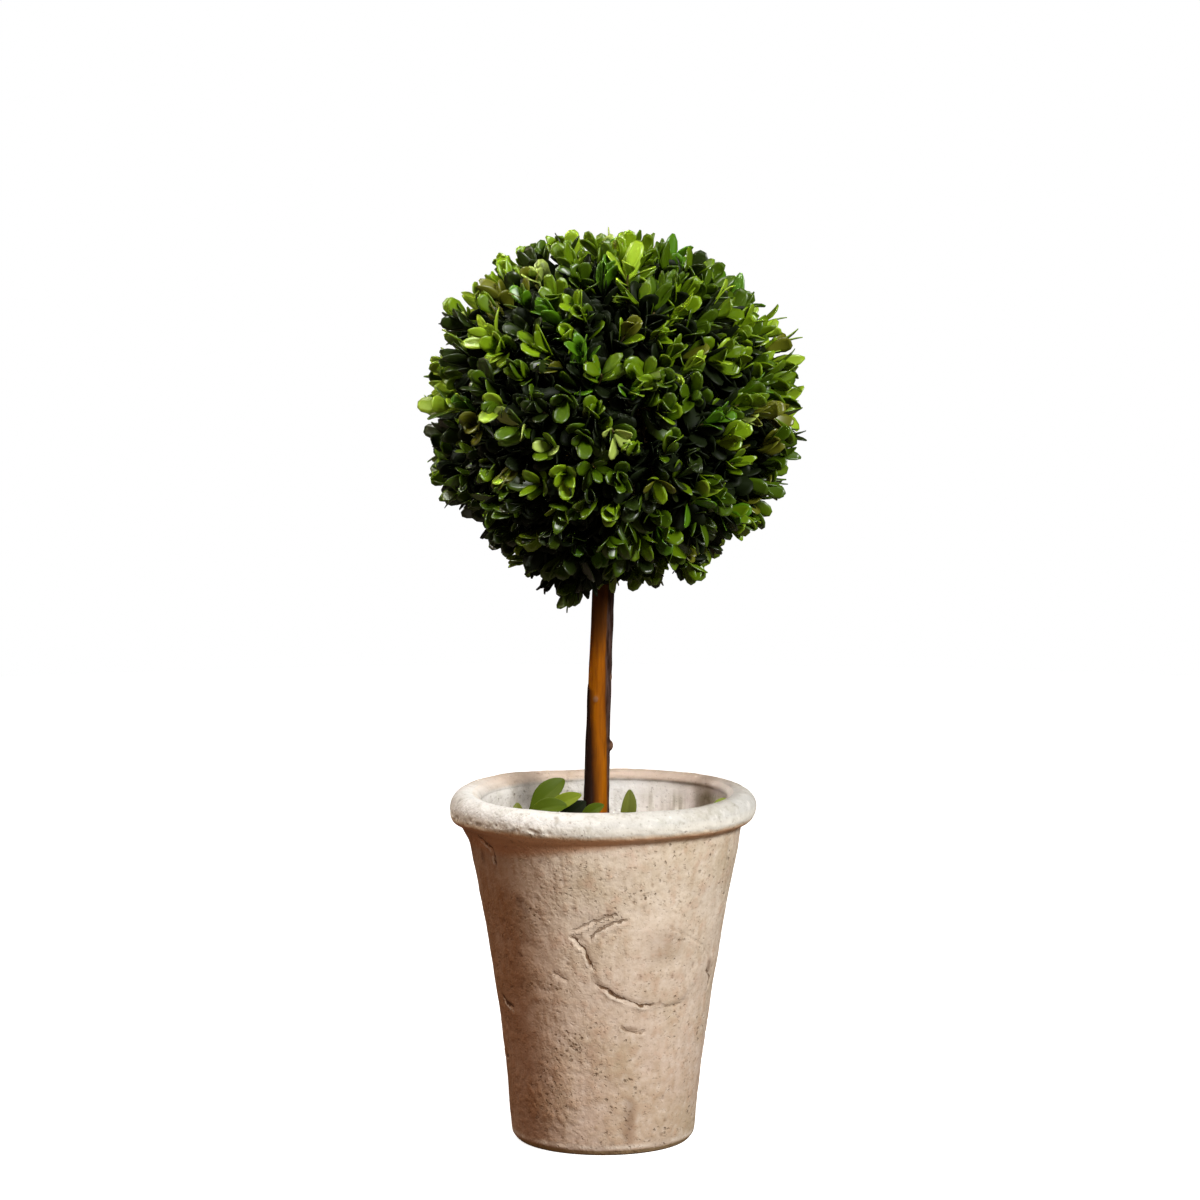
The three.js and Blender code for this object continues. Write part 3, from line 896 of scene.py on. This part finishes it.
def carve_bark(stem):
    """Raises the old bark in ridges beside the smooth window, and the knots, and marks what is what, with the
    painted shade.
    """
    points = points_of(stem)
    spoke = points - np.array([course_at(z) for z in points[:, 2]])
    spoke[:, 2] = 0
    reach = np.maximum(np.linalg.norm(spoke, axis=1), 1e-6)
    outward = spoke / reach[:, None]
    degrees, height = around(outward), points[:, 2] / MM
    wander = 5 * rough(points, 9, 31, (1, 1, 0.35)) + 3 * rough(points, 3, 32, (1, 1, 0.5))
    levels, lefts, rights = zip(*BARK_WINDOW)
    from_left = degrees - (np.interp(height, levels, lefts) + wander)
    from_right = degrees - (np.interp(height, levels, rights) + wander)
    # One bark passes into the other over some degrees. The stem is painted darker, as shade, towards the old
    # bark and with the ball's shadow up high.
    bare = ease(-6, 14, from_left) * (1 - ease(-8, 6, from_right))
    shadowy = 1 - ease(0, 52, from_left) * (1 - ease(-26, 8, from_right))
    shadowy = np.maximum(shadowy, 0.9 * ease(*BALL_SHADE, height))
    edge = np.maximum(bell(from_left, 7), bell(from_right, 7))
    round_way = outward * reach[:, None] * np.array([1, 1, 0])
    upright = np.array([0, 0, 1]) * points
    ribs, flakes = (rough(round_way + upright * 0.16, wide, seed) for wide, seed in ((1.7, 33), (4.2, 34)))
    silk = rough(outward * reach[:, None] + upright * 0.5, 6, 35)
    out = (1 - bare) * (OLD_BARK + RIDGE * ribs + FLAKE * flakes) + bare * SILK * silk - BARK_EDGE * edge
    knotty = np.zeros(len(points))
    for level, towards, stands, half_width, half_height in KNOTS:
        across = turn_between(degrees, towards) * reach / MM * math.pi / 180
        lump = np.exp(-((across / half_width) ** 2 + ((height - level) / half_height) ** 2) ** 2)
        out += stands * lump
        knotty = np.maximum(knotty, lump)
    inside = ease(0, 1, (reach / MM) / 3)
    points += outward * (out * MM * inside)[:, None]
    move_points(stem, points)
    # Painted shade: the grooves at the window's edges, the sides towards the old bark and the top under the
    # ball are darkened.
    shade(stem, bare=bare, crease=np.maximum(0.8 * edge, 0.9 * shadowy), knot=knotty)


def bark():
    """Young box wood, waxed: satin orange-brown inner bark, and dull grey-brown old bark in fine ridges. Its
    shade is painted in: near-black on its left side, and darker at the window's edges and under the ball.
    """
    material, tree, shader = new_material("box_bark", 0.5, 0.09)
    here = add(tree, "TexCoord").outputs["Object"]
    drawn = add(tree, "Mapping", {"Vector": here, "Scale": (1, 1, 0.1)})
    fibre, patch = (
        add(tree, "TexNoise", {"Vector": drawn, "Scale": 1 / (size * MM), "Detail": detail, "Roughness": 0.6})
        for size, detail in ((1.3, 5), (6, 4))
    )
    bare, crease, knot = (
        add(tree, "Attribute", attribute_name=name).outputs["Fac"] for name in ("bare", "crease", "knot"))
    x = add(tree, "SeparateXYZ", {0: here}).outputs["X"]
    inner = washed(tree, "#763D02", [
        ("#A05C04", (patch, 0.35, 0.65)),
        ("#52290A", (fibre, 0.5, 0.72, 0, 0.5)),
    ])
    skin = washed(tree, "#3E2A20", [
        ("#9C8078", (fibre, 0.4, 0.62)),
        # The stem's left side is painted near-black as shade.
        ("#0C0605", (x, -3 * MM, -7 * MM)),
        (inner, (bare,)),
        # Painted shade, darkest in the grooves at the window's edges, towards the old bark and under the
        # ball.
        ("#25130A", (crease, 0.1, 0.95, 0, 0.88)),
        ("#7A5B46", (knot, 0.3, 0.8, 0, 0.7)),
    ])
    sheen = add(tree, "MapRange", {0: bare, 3: 0.85, 4: 0.48})
    bump = add(tree, "Bump", {"Height": fibre, "Distance": 0.4 * MM, "Strength": 0.6})
    wire(tree, shader, {"Base Color": skin, "Roughness": sheen, "Normal": bump})
    return material


def make_stem():
    """One limb drawn up ring by ring along its course, from its flat foot to its flat tip."""
    levels = between(STEM_LOW.z, STEM_HIGH.z, STEM_STEPS)
    let_go()
    bpy.ops.mesh.primitive_circle_add(vertices=STEM_SIDES, radius=stem_radius(levels[0]), location=(0, 0, 0))
    stem = named("bare_stem")
    bpy.ops.object.mode_set(mode="EDIT")
    bpy.ops.mesh.select_all(action="SELECT")
    bpy.ops.transform.translate(value=course_at(levels[0]))
    for low, high in zip(levels, levels[1:]):
        step = course_at(high) - course_at(low)
        swell = stem_radius(high) / stem_radius(low)
        bpy.ops.mesh.extrude_region_move(TRANSFORM_OT_translate={"value": step})
        bpy.ops.transform.resize(value=(swell, swell, 1), center_override=course_at(high))
    for level in (levels[-1], levels[0]):
        pick(lambda co, level=level: abs(co.z - level) < 1e-5)
        bpy.ops.mesh.edge_face_add()
        for inset in STEM_END_INSETS:
            bpy.ops.mesh.inset(thickness=inset)
    bpy.ops.mesh.select_all(action="SELECT")
    bpy.ops.mesh.normals_make_consistent(inside=False)
    bpy.ops.object.mode_set(mode="OBJECT")
    subdivide(stem, 3)
    carve_bark(stem)
    stem.data.shade_smooth()
    hand_over(stem, [bark()], "bark", "stem")


# ---------------------------------------------------------------- leaves

# One leaf of each kind, 1 long from its stalk (at 0) to its tip along +Y, its face up. First how far its
# halves fold up, as rise over half width; then for rows from stalk to tip how far along each is, its half
# width, and how far the blade has sunk (curling back at the tip).
LEAF_FORMS = {
    "spoon": (0.13, [(0, 0.025, 0), (0.18, 0.08, 0), (0.42, 0.18, 0), (0.66, 0.24, -0.01),
                     (0.87, 0.195, -0.03), (0.985, 0.085, -0.05)]),
    "oval": (0.20, [(0, 0.025, 0), (0.16, 0.10, 0.01), (0.36, 0.19, 0.015), (0.58, 0.215, 0.01),
                    (0.81, 0.155, -0.01), (0.985, 0.04, -0.035)]),
    "curled": (0.08, [(0, 0.025, 0), (0.18, 0.09, 0.03), (0.40, 0.18, 0.05), (0.62, 0.225, 0.045),
                      (0.83, 0.185, 0), (0.94, 0.09, -0.05)]),
    "slender": (0.24, [(0, 0.02, 0), (0.18, 0.09, 0), (0.40, 0.15, 0.01), (0.62, 0.16, 0),
                       (0.83, 0.11, -0.02), (0.985, 0.03, -0.045)]),
}
LEAF_COLUMNS, INNER_COLUMNS, SPRIG_COLUMNS = 4, 2, 12
LEAF_THICK = 0.026               # of a leaf's length; box leaves are leathery
INNER_FORM = (0.15, [(0, 0.025, 0), (0.24, 0.13, 0), (0.6, 0.25, 0), (0.86, 0.19, -0.03),
                     (0.98, 0.07, -0.05)])
FORM_SHARES = (0.38, 0.27, 0.2, 0.15)        # how common each of LEAF_FORMS is where it can be seen
INNER_KIND = len(LEAF_FORMS)                 # number of the plain form, for the dark inside
FACES_EACH = 3                   # materials of a leaf: upper face, underside and edge
ASIDE = 10                       # rows that are done wait this far off, so that no test picks them again


def model_leaf(name, form, columns, thick=LEAF_THICK, groove=0.0):
    """A flat sheet is narrowed row by row to the leaf's outline, folded along its midrib and thickened."""
    cup, rows = form
    last = len(rows) - 1
    let_go()
    bpy.ops.mesh.primitive_grid_add(x_subdivisions=columns, y_subdivisions=last, size=2, location=(0, 0, 0))
    leaf = named(name)
    bpy.ops.object.mode_set(mode="EDIT")
    for i, (along, half_width, sunk) in enumerate(rows):
        level = -1 + 2 * i / last
        pick(lambda co, level=level: abs(co.y - level) < 1e-4 and abs(co.z) < 1e-4)
        bpy.ops.transform.resize(value=(half_width, 1, 1), center_override=(0, level, 0))
        bpy.ops.transform.translate(value=(0, ASIDE + along - level, sunk))
    bpy.ops.mesh.select_all(action="SELECT")
    bpy.ops.transform.translate(value=(0, -ASIDE, 0))
    bpy.ops.object.mode_set(mode="OBJECT")
    points = points_of(leaf)
    points[:, 2] += cup * np.abs(points[:, 0]) ** 1.3 * 1.25 - groove * (np.abs(points[:, 0]) < 1e-5)
    move_points(leaf, points)
    apply_modifier(leaf, "SOLIDIFY", thickness=thick, offset=0, material_offset=1, material_offset_rim=2)
    for _ in range(FACES_EACH):
        leaf.data.materials.append(None)
    leaf.data.shade_smooth()
    for face in leaf.data.polygons:
        face.use_smooth = face.material_index != 2
    return shape_of(leaf)


# Leaf colours: upper face, underside, and how common each is at the top and at the bottom of the ball; these
# shares paint the ball lighter at the top and darker underneath, as light and shade, and pale stands in for
# glints of light. The last four are the leaves deep inside, painted dark as shade, and those of the cut
# sprigs.
LEAF_COLOURS = [
    ("pale", "#9DB052", "#A9B578", 0.04, 0.015),
    ("fresh", "#88A422", "#9AA852", 0.12, 0.03),
    ("bright", "#6E8B0C", "#88983C", 0.23, 0.08),
    ("mid", "#556F05", "#71842C", 0.26, 0.19),
    ("deep", "#3D5502", "#5A6A1E", 0.19, 0.27),
    ("grass", "#466F0A", "#6C8830", 0.08, 0.07),
    ("olive", "#5D6114", "#777838", 0.04, 0.04),
    ("shaded", "#222F08", "#364417", 0.05, 0.36),
    ("dark", "#121A06", "#1B240B", 0, 0),
    ("cut_pale", "#717F1F", "#7E8A3C", 0, 0),
    ("cut_green", "#49590C", "#66752A", 0, 0),
    ("cut_dull", "#656B2A", "#767C3E", 0, 0),
]
# Dull leaves: the dark ones, which are painted shade, and the cut sprigs.
CUT_AND_SHADE_LEAVES = ("dark", "cut_pale", "cut_green", "cut_dull")
NUMBER_OF = {name: number for number, (name, *_) in enumerate(LEAF_COLOURS)}
DARK = NUMBER_OF["dark"]
RIM_PALE = "#93A548"
RIMS = {"dark": "#35421A", "shaded": "#5F7030"}
# Roughness and specular level of the face, the underside and the edge.
WAXY = ((0.34, 0.5), (0.62, 0.28), (0.55, 0.2))
DULL = ((0.55, 0.14), (0.7, 0.1), (0.55, 0.2))


def leaf_materials():
    """Box leaf: a leathery blade with a waxy upper face, a duller and paler underside and a pale thin edge.

    The eye gets small soft glints on the upper faces, and each spray a green of its own. The leaves deep
    inside, painted dark as shade, and the cut sprigs have no gloss.
    """
    made = []
    for name, face, under, _, _ in LEAF_COLOURS:
        dull = name in CUT_AND_SHADE_LEAVES
        edge = RIMS.get(name, face if dull else RIM_PALE)
        parts = {"face": face, "under": under, "edge": edge}
        for (part, colour), gloss in zip(parts.items(), DULL if dull else WAXY):
            made.append(plain(f"box_leaf_{name}_{part}", colour, *gloss))
    return made


# ---------------------------------------------------------------- the ball: boughs, twigs and leaves

BALL_LOW, BALL_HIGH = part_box("foliage_ball")
BALL_CENTRE = (BALL_LOW + BALL_HIGH) / 2
BOUGHS, BRANCHES, TWIGS = 26, 130, 360
BOUGH_REACH, BRANCH_REACH = 0.34, 0.58       # where each ends, as a share of the way to the clipped skin
# Radius at its start and at its end.
BOUGH_THICK, BRANCH_THICK = (2.6 * MM, 1.9 * MM), (1.7 * MM, 1.15 * MM)
TWIG_THICK, SHOOT_THICK = (1.05 * MM, 0.65 * MM), (1.0 * MM, 0.6 * MM)
LEAFY_FROM = 0.2                 # how far up a twig its first pair of leaves sits, as a share
LEAFY_PAIRS = 7
OUTER_PAIRS = 3                  # of them, those that are seen
LEAF_LENGTH, TIP_SHORTER = 21, 4             # in mm, of the first pair, and how much less the last has
OPENING, TIP_CLOSED = 32, 21                 # in degrees from the twig, in the same way
TIP_CLEARANCE = (11, 18)         # how far in mm a twig ends inside the clipped skin
STEM_GAP = math.radians(7)       # no twig grows this near to the stem
INNER_SHOOT = 15 * MM            # length of the short shoots with leaves painted dark as shade that close the ball inside
SKIN_LEAST, SKIN_USUAL = 0.095, 0.1          # metres: its least distance, and that where a ray slips through
FAR_OUT = 1.0                    # metres: rays at the skin start this far outside the ball's centre
# Boughs leave the stem this far over the ball's centre (mm) where they point down, and further up the more
# they point up.
BOUGH_FOOT, BOUGH_CLIMB = -52, 30
SEED = 20
# Shoots that stick out of the clipped ball: where each starts and ends (mm), and its colour.
STRAYS = [
    ((-6, -4, 337), (-16, -12, 315), "deep"),
    ((29, -14, 347), (44, -20, 330), "mid"),
]


def clipped_skin():
    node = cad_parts["foliage_ball"].data
    return BVHTree.FromPolygons([v.co for v in node.vertices], [tuple(p.vertices) for p in node.polygons])


SKIN = clipped_skin()


def skin_at(direction):
    """How far the clipped skin is from the ball's centre in a direction."""
    hit = SKIN.ray_cast(BALL_CENTRE + FAR_OUT * direction, -direction)
    return max((hit[0] - BALL_CENTRE).length, SKIN_LEAST) if hit[0] else SKIN_USUAL


def strewn(spread, chance):
    """A random step, as likely one way as another."""
    return Vector([chance.gauss(0, spread) for _ in range(3)])


def directions(count, jitter, chance):
    """Directions spread evenly over a ball, each nudged a little."""
    golden = math.pi * (3 - math.sqrt(5))
    found = []
    for i in range(count):
        z = 1 - 2 * (i + 0.5) / count
        level = math.sqrt(1 - z * z)
        even = Vector((level * math.cos(golden * i), level * math.sin(golden * i), z))
        found.append((even + strewn(jitter, chance)).normalized())
    return found


def nearest(direction, others):
    return max(range(len(others)), key=lambda i: direction.dot(others[i]))


def limb(start, leave, end, arrive, steps):
    """Points along a limb that leaves one way and arrives another."""
    pull = (end - start).length * 0.9
    return [swing(start, leave * pull, end, arrive * pull, i / steps) for i in range(steps + 1)]


def frame_of(along, face_hint):
    """A 3x3 turn whose Y runs along the leaf and whose Z is its upper face."""
    y = along.normalized()
    z = (face_hint - y * face_hint.dot(y)).normalized()
    x = y.cross(z)
    return Matrix((x, y, z)).transposed()


def pick_colour(direction, chance):
    """A spray's colour: painted lighter towards the top and the right as light, and darker underneath as
    shade, most of all at the lower left.
    """
    share = min(max(0.5 + 0.62 * direction.z + 0.3 * max(direction.z, 0) + 0.12 * direction.x, 0), 1)
    weights = [low + (high - low) * share for _, _, _, high, low in LEAF_COLOURS]
    # Whole sprays at the lower left are painted dark as shade.
    weights[DARK] = 1.1 * max(-direction.x, 0) * max(-direction.z, 0)
    return chance.choices(range(len(LEAF_COLOURS)), weights)[0]


def leaf_kind(chance, outer):
    return chance.choices(range(len(FORM_SHARES)), FORM_SHARES)[0] if outer else INNER_KIND


def grow_spray(path, outward, colour, chance, leaves, inside=False):
    """Dresses the outer part of a twig with crossed pairs of leaves, opening less and less to the tip."""
    spin = chance.uniform(0, math.pi)
    loose = chance.gauss(0, 9)
    last = len(path) - 1
    # How likely a leaf deep in the spray is painted dark as shade: less so up high and at the right.
    shady = 0.9 - min(0.45 * outward.z + 0.15 * max(outward.z, 0), 0.3) - 0.12 * outward.x
    for pair in range(LEAFY_PAIRS):
        share = pair / (LEAFY_PAIRS - 1)
        place = (LEAFY_FROM + (1 - LEAFY_FROM) * share) * last
        step = min(int(place), last - 1)
        at = path[step].lerp(path[step + 1], place - step)
        along = (path[step + 1] - path[step]).normalized()
        side = along.orthogonal().normalized()
        opening = math.radians(max(OPENING - TIP_CLOSED * share + loose + chance.gauss(0, 7), 5))
        length = (LEAF_LENGTH - TIP_SHORTER * share) * MM * chance.uniform(0.8, 1.18)
        spin += math.pi / 2 + chance.gauss(0, 0.25)
        outer = pair >= LEAFY_PAIRS - OUTER_PAIRS and not inside
        green = colour if chance.random() < 0.8 else pick_colour(outward, chance)
        if inside or not outer and chance.random() < shady:
            green = DARK
        for half in (0, math.pi):
            away = Matrix.Rotation(spin + half + chance.gauss(0, 0.12), 3, along) @ side
            run = along * math.cos(opening) + away * math.sin(opening)
            face = along * math.sin(opening) - away * math.cos(opening)
            sag = Vector((0, 0, -0.10))
            turn = frame_of(run + sag, face + 0.34 * strewn(1, chance))
            wide = length * chance.uniform(0.92, 1.12)
            size = Matrix.Diagonal((wide, length, length))
            root = at + away * 0.5 * MM
            leaves.append((leaf_kind(chance, outer), np.array(turn @ size), tuple(root), green))


def grow_ball():
    """Every limb as (points, start radius, end radius), and every leaf's place.

    The clipped skin is shared out: each bough takes the branches nearest to it, and each branch its twigs.
    """
    chance = random.Random(SEED)
    bough_ways = directions(BOUGHS, 0.06, chance)
    branch_ways = directions(BRANCHES, 0.05, chance)
    twig_ways = directions(TWIGS, 0.035, chance)
    limbs, leaves = [], []
    bough_ends, branch_ends = [], []
    for way in bough_ways:
        level = BALL_CENTRE.z + (BOUGH_FOOT + BOUGH_CLIMB * (1 + way.z)) * MM
        start = course_at(min(level, STEM_HIGH.z - 2 * MM))
        bough_ends.append(BALL_CENTRE + way * skin_at(way) * BOUGH_REACH)
        leave = (way + Vector((0, 0, 0.5))).normalized()
        limbs.append((limb(start, leave, bough_ends[-1], way, 5), *BOUGH_THICK))
    for way in branch_ways:
        parent = nearest(way, bough_ways)
        branch_ends.append(BALL_CENTRE + way * skin_at(way) * BRANCH_REACH)
        path = limb(bough_ends[parent], bough_ways[parent], branch_ends[-1], way, 4)
        limbs.append((path, *BRANCH_THICK))
    stem_way = (course_at(BALL_LOW.z) - BALL_CENTRE).normalized()
    for way in twig_ways:
        if way.angle(stem_way) < STEM_GAP:
            continue
        parent = nearest(way, branch_ways)
        # The ball is drawn in by a few mm on a belt low down, and let out at its right.
        tuck = 5 * math.exp(-((way.z + 0.62) / 0.22) ** 2) - 3 * max(way.x, 0)
        end = BALL_CENTRE + way * (skin_at(way) - (chance.uniform(*TIP_CLEARANCE) + tuck) * MM)
        rise = Vector((0, 0, 0.16 + 0.6 * max(0.15 - way.z, 0)))
        lean = (way + strewn(0.38, chance) + rise).normalized()
        path = limb(branch_ends[parent], branch_ways[parent], end, lean, 6)
        limbs.append((path, *TWIG_THICK))
        grow_spray(path, way, pick_colour(way, chance), chance, leaves)
    deep = random.Random(SEED + 1)
    for start, way in zip(branch_ends, branch_ways):
        lean = (way + strewn(0.5, deep)).normalized()
        path = limb(start, way, start + lean * INNER_SHOOT, lean, 6)
        limbs.append((path, *SHOOT_THICK))
        grow_spray(path, way, DARK, deep, leaves, inside=True)
    for start, end, colour in STRAYS:
        start, end = Vector(start) * MM, Vector(end) * MM
        way = (end - start).normalized()
        path = limb(start, way, end, way, 6)
        limbs.append((path, *TWIG_THICK))
        grow_spray(path, (start - BALL_CENTRE).normalized(), NUMBER_OF[colour], chance, leaves)
    return limbs, leaves


def draw_limbs(name, limbs):
    """Limbs as one curve of tapering round strands, turned into a mesh."""
    curve = bpy.data.curves.new(name, "CURVE")
    curve.dimensions = "3D"
    curve.bevel_depth = 1.0
    curve.bevel_resolution = 1
    curve.use_fill_caps = True
    for path, thick, thin in limbs:
        strand = curve.splines.new("POLY")
        strand.points.add(len(path) - 1)
        for i, point in enumerate(path):
            strand.points[i].co = (*point, 1)
            strand.points[i].radius = thick + (thin - thick) * i / (len(path) - 1)
    piece = put_in_scene(name, curve)
    take(piece)
    bpy.ops.object.convert(target="MESH")
    piece.data.shade_smooth()
    return piece


def twig_bark():
    """Young box shoots: dull olive-brown, ribbed lengthwise and darker where old leaves fell."""
    material, tree, shader = new_material("box_twig_bark", 0.75, 0.3)
    here = add(tree, "TexCoord").outputs["Object"]
    fleck = add(tree, "TexNoise", {"Vector": here, "Scale": 1 / (3.5 * MM), "Detail": 4, "Roughness": 0.65})
    skin = washed(tree, "#3A2B16", [("#6F6233", (fleck, 0.38, 0.64))])
    bump = add(tree, "Bump", {"Height": fleck, "Distance": 0.4 * MM, "Strength": 0.6})
    wire(tree, shader, {"Base Color": skin, "Normal": bump})
    return material


QUARTERS = ("front", "right", "back", "left")


def quarter(location):
    """Which side of the ball a leaf is on, from the front round to the left."""
    bearing = math.degrees(math.atan2(location[0] - BALL_CENTRE.x, -(location[1] - BALL_CENTRE.y)))
    return int(((bearing + 45) % 360) // 90)


def make_ball(forms, materials):
    limbs, leaves = grow_ball()
    wood = draw_limbs("boughs_and_twigs", limbs)
    hand_over(wood, [twig_bark()], "bark", "foliage_ball")
    for number, side in enumerate(QUARTERS):
        mine = [leaf for leaf in leaves if quarter(leaf[2]) == number]
        piece = joined(f"leaves_{side}", forms, mine, FACES_EACH)
        hand_over(piece, materials, "leaf", "foliage_ball")


# ---------------------------------------------------------------- sprigs pushed into the fill

# For each sprig, by its CAD node: where its foot is (mm from the pot's axis), and its leaves, each as its
# base and its tip (mm), the way its face looks in degrees round from the front, how much that way points
# up, how broad it is as a share of the form, and its colour.
# Leaves in the colour dark are painted shade: dark blades set where the sprigs lie in deep shade.
SPRIGS = {
    "sprig_left": ((-37, -5), [
        ((-41, -5, 185), (-21.5, -2, 203), -15, 0.3, 1, "cut_green"),
        ((-33, -9, 184), (-12, -12, 196), 15, 0.75, 0.8, "cut_pale"),
        ((-42, -13, 185.5), (-20, -16, 190.5), -10, 0.6, 1, "cut_green"),
        ((-26, -5, 178), (-9.5, -7, 191), 10, 0.4, 1, "dark"),
    ]),
    "sprig_front": ((-7.5, -18), [
        ((-13, -18, 183), (0.5, -20, 191.5), 10, 0.6, 0.95, "cut_green"),
        ((-8, -18, 172), (-13, -20, 184), -20, 0.3, 1, "dark"),
    ]),
    "sprig_right": ((12, -1), [
        ((11, -1.5, 174), (15.2, -2, 197), 20, 0.25, 0.84, "cut_dull"),
        ((13, -4, 170), (21, -9, 183), 30, 0.4, 1, "cut_green"),
    ]),
    "sprig_far_left": ((-47, -24), [
        ((-47, -22, 179), (-47.5, -19, 192.5), 0, 0.3, 1, "cut_dull"),
        ((-45, -23, 168), (-37, -22, 180), 30, 0.3, 1, "cut_green"),
    ]),
    "sprig_far_right": ((54, -14), [
        ((60, -13, 184), (68.5, -9, 193.4), -25, 0.7, 0.9, "cut_pale"),
        ((52, -11, 166), (48, -4, 181), -30, 0.3, 1, "cut_green"),
    ]),
}
SPRIG_FORM = (0.5, [
    (0, 0.03, 0), (0.07, 0.065, 0.01), (0.16, 0.115, 0.025), (0.27, 0.175, 0.045), (0.39, 0.215, 0.06),
    (0.52, 0.23, 0.065), (0.65, 0.222, 0.055), (0.77, 0.19, 0.035), (0.87, 0.14, 0.01), (0.945, 0.08, -0.015),
    (0.985, 0.03, -0.035)])
SPRIG_THICK, SPRIG_GROOVE = 0.012, 0.014
SPRIG_DEPTH = 2 * MM             # how far down in the fill its foot is
STALK_THICK = (1.1 * MM, 0.5 * MM)


def make_sprigs(materials):
    form = model_leaf("sprig_leaf", SPRIG_FORM, SPRIG_COLUMNS, SPRIG_THICK, SPRIG_GROOVE)
    leaves, stalks = [], []
    for (x, y), blades in SPRIGS.values():
        foot = Vector((x * MM, y * MM, FILL_HIGH.z - SPRIG_DEPTH))
        for base, tip, towards, rise, broad, colour in blades:
            base, tip = Vector(base) * MM, Vector(tip) * MM
            length = (tip - base).length
            face = Vector((math.sin(math.radians(towards)), -math.cos(math.radians(towards)), rise))
            size = Matrix.Diagonal((length * broad, length, length))
            turn = np.array(frame_of(tip - base, face) @ size)
            leaves.append((0, turn, tuple(base), NUMBER_OF[colour]))
            path = limb(foot, Vector((0, 0, 1)), base, (tip - base).normalized(), 4)
            stalks.append((path, *STALK_THICK))
    hand_over(joined("pot_sprig_leaves", [form], leaves, FACES_EACH), materials, "leaf", *SPRIGS)
    wood = draw_limbs("pot_sprig_stalks", stalks)
    hand_over(wood, [bpy.data.materials["box_twig_bark"]], "leaf", *SPRIGS)


# ---------------------------------------------------------------- all of it

def main():
    bpy.context.scene.view_settings.view_transform = "Standard"
    set_camera()
    set_lights()
    lay_floor()
    make_pot()
    make_fill()
    make_crumbs()
    make_stem()
    forms = [model_leaf(name, form, LEAF_COLUMNS) for name, form in LEAF_FORMS.items()]
    forms.append(model_leaf("inner", INNER_FORM, INNER_COLUMNS))
    materials = leaf_materials()
    make_ball(forms, materials)
    make_sprigs(materials)


main()
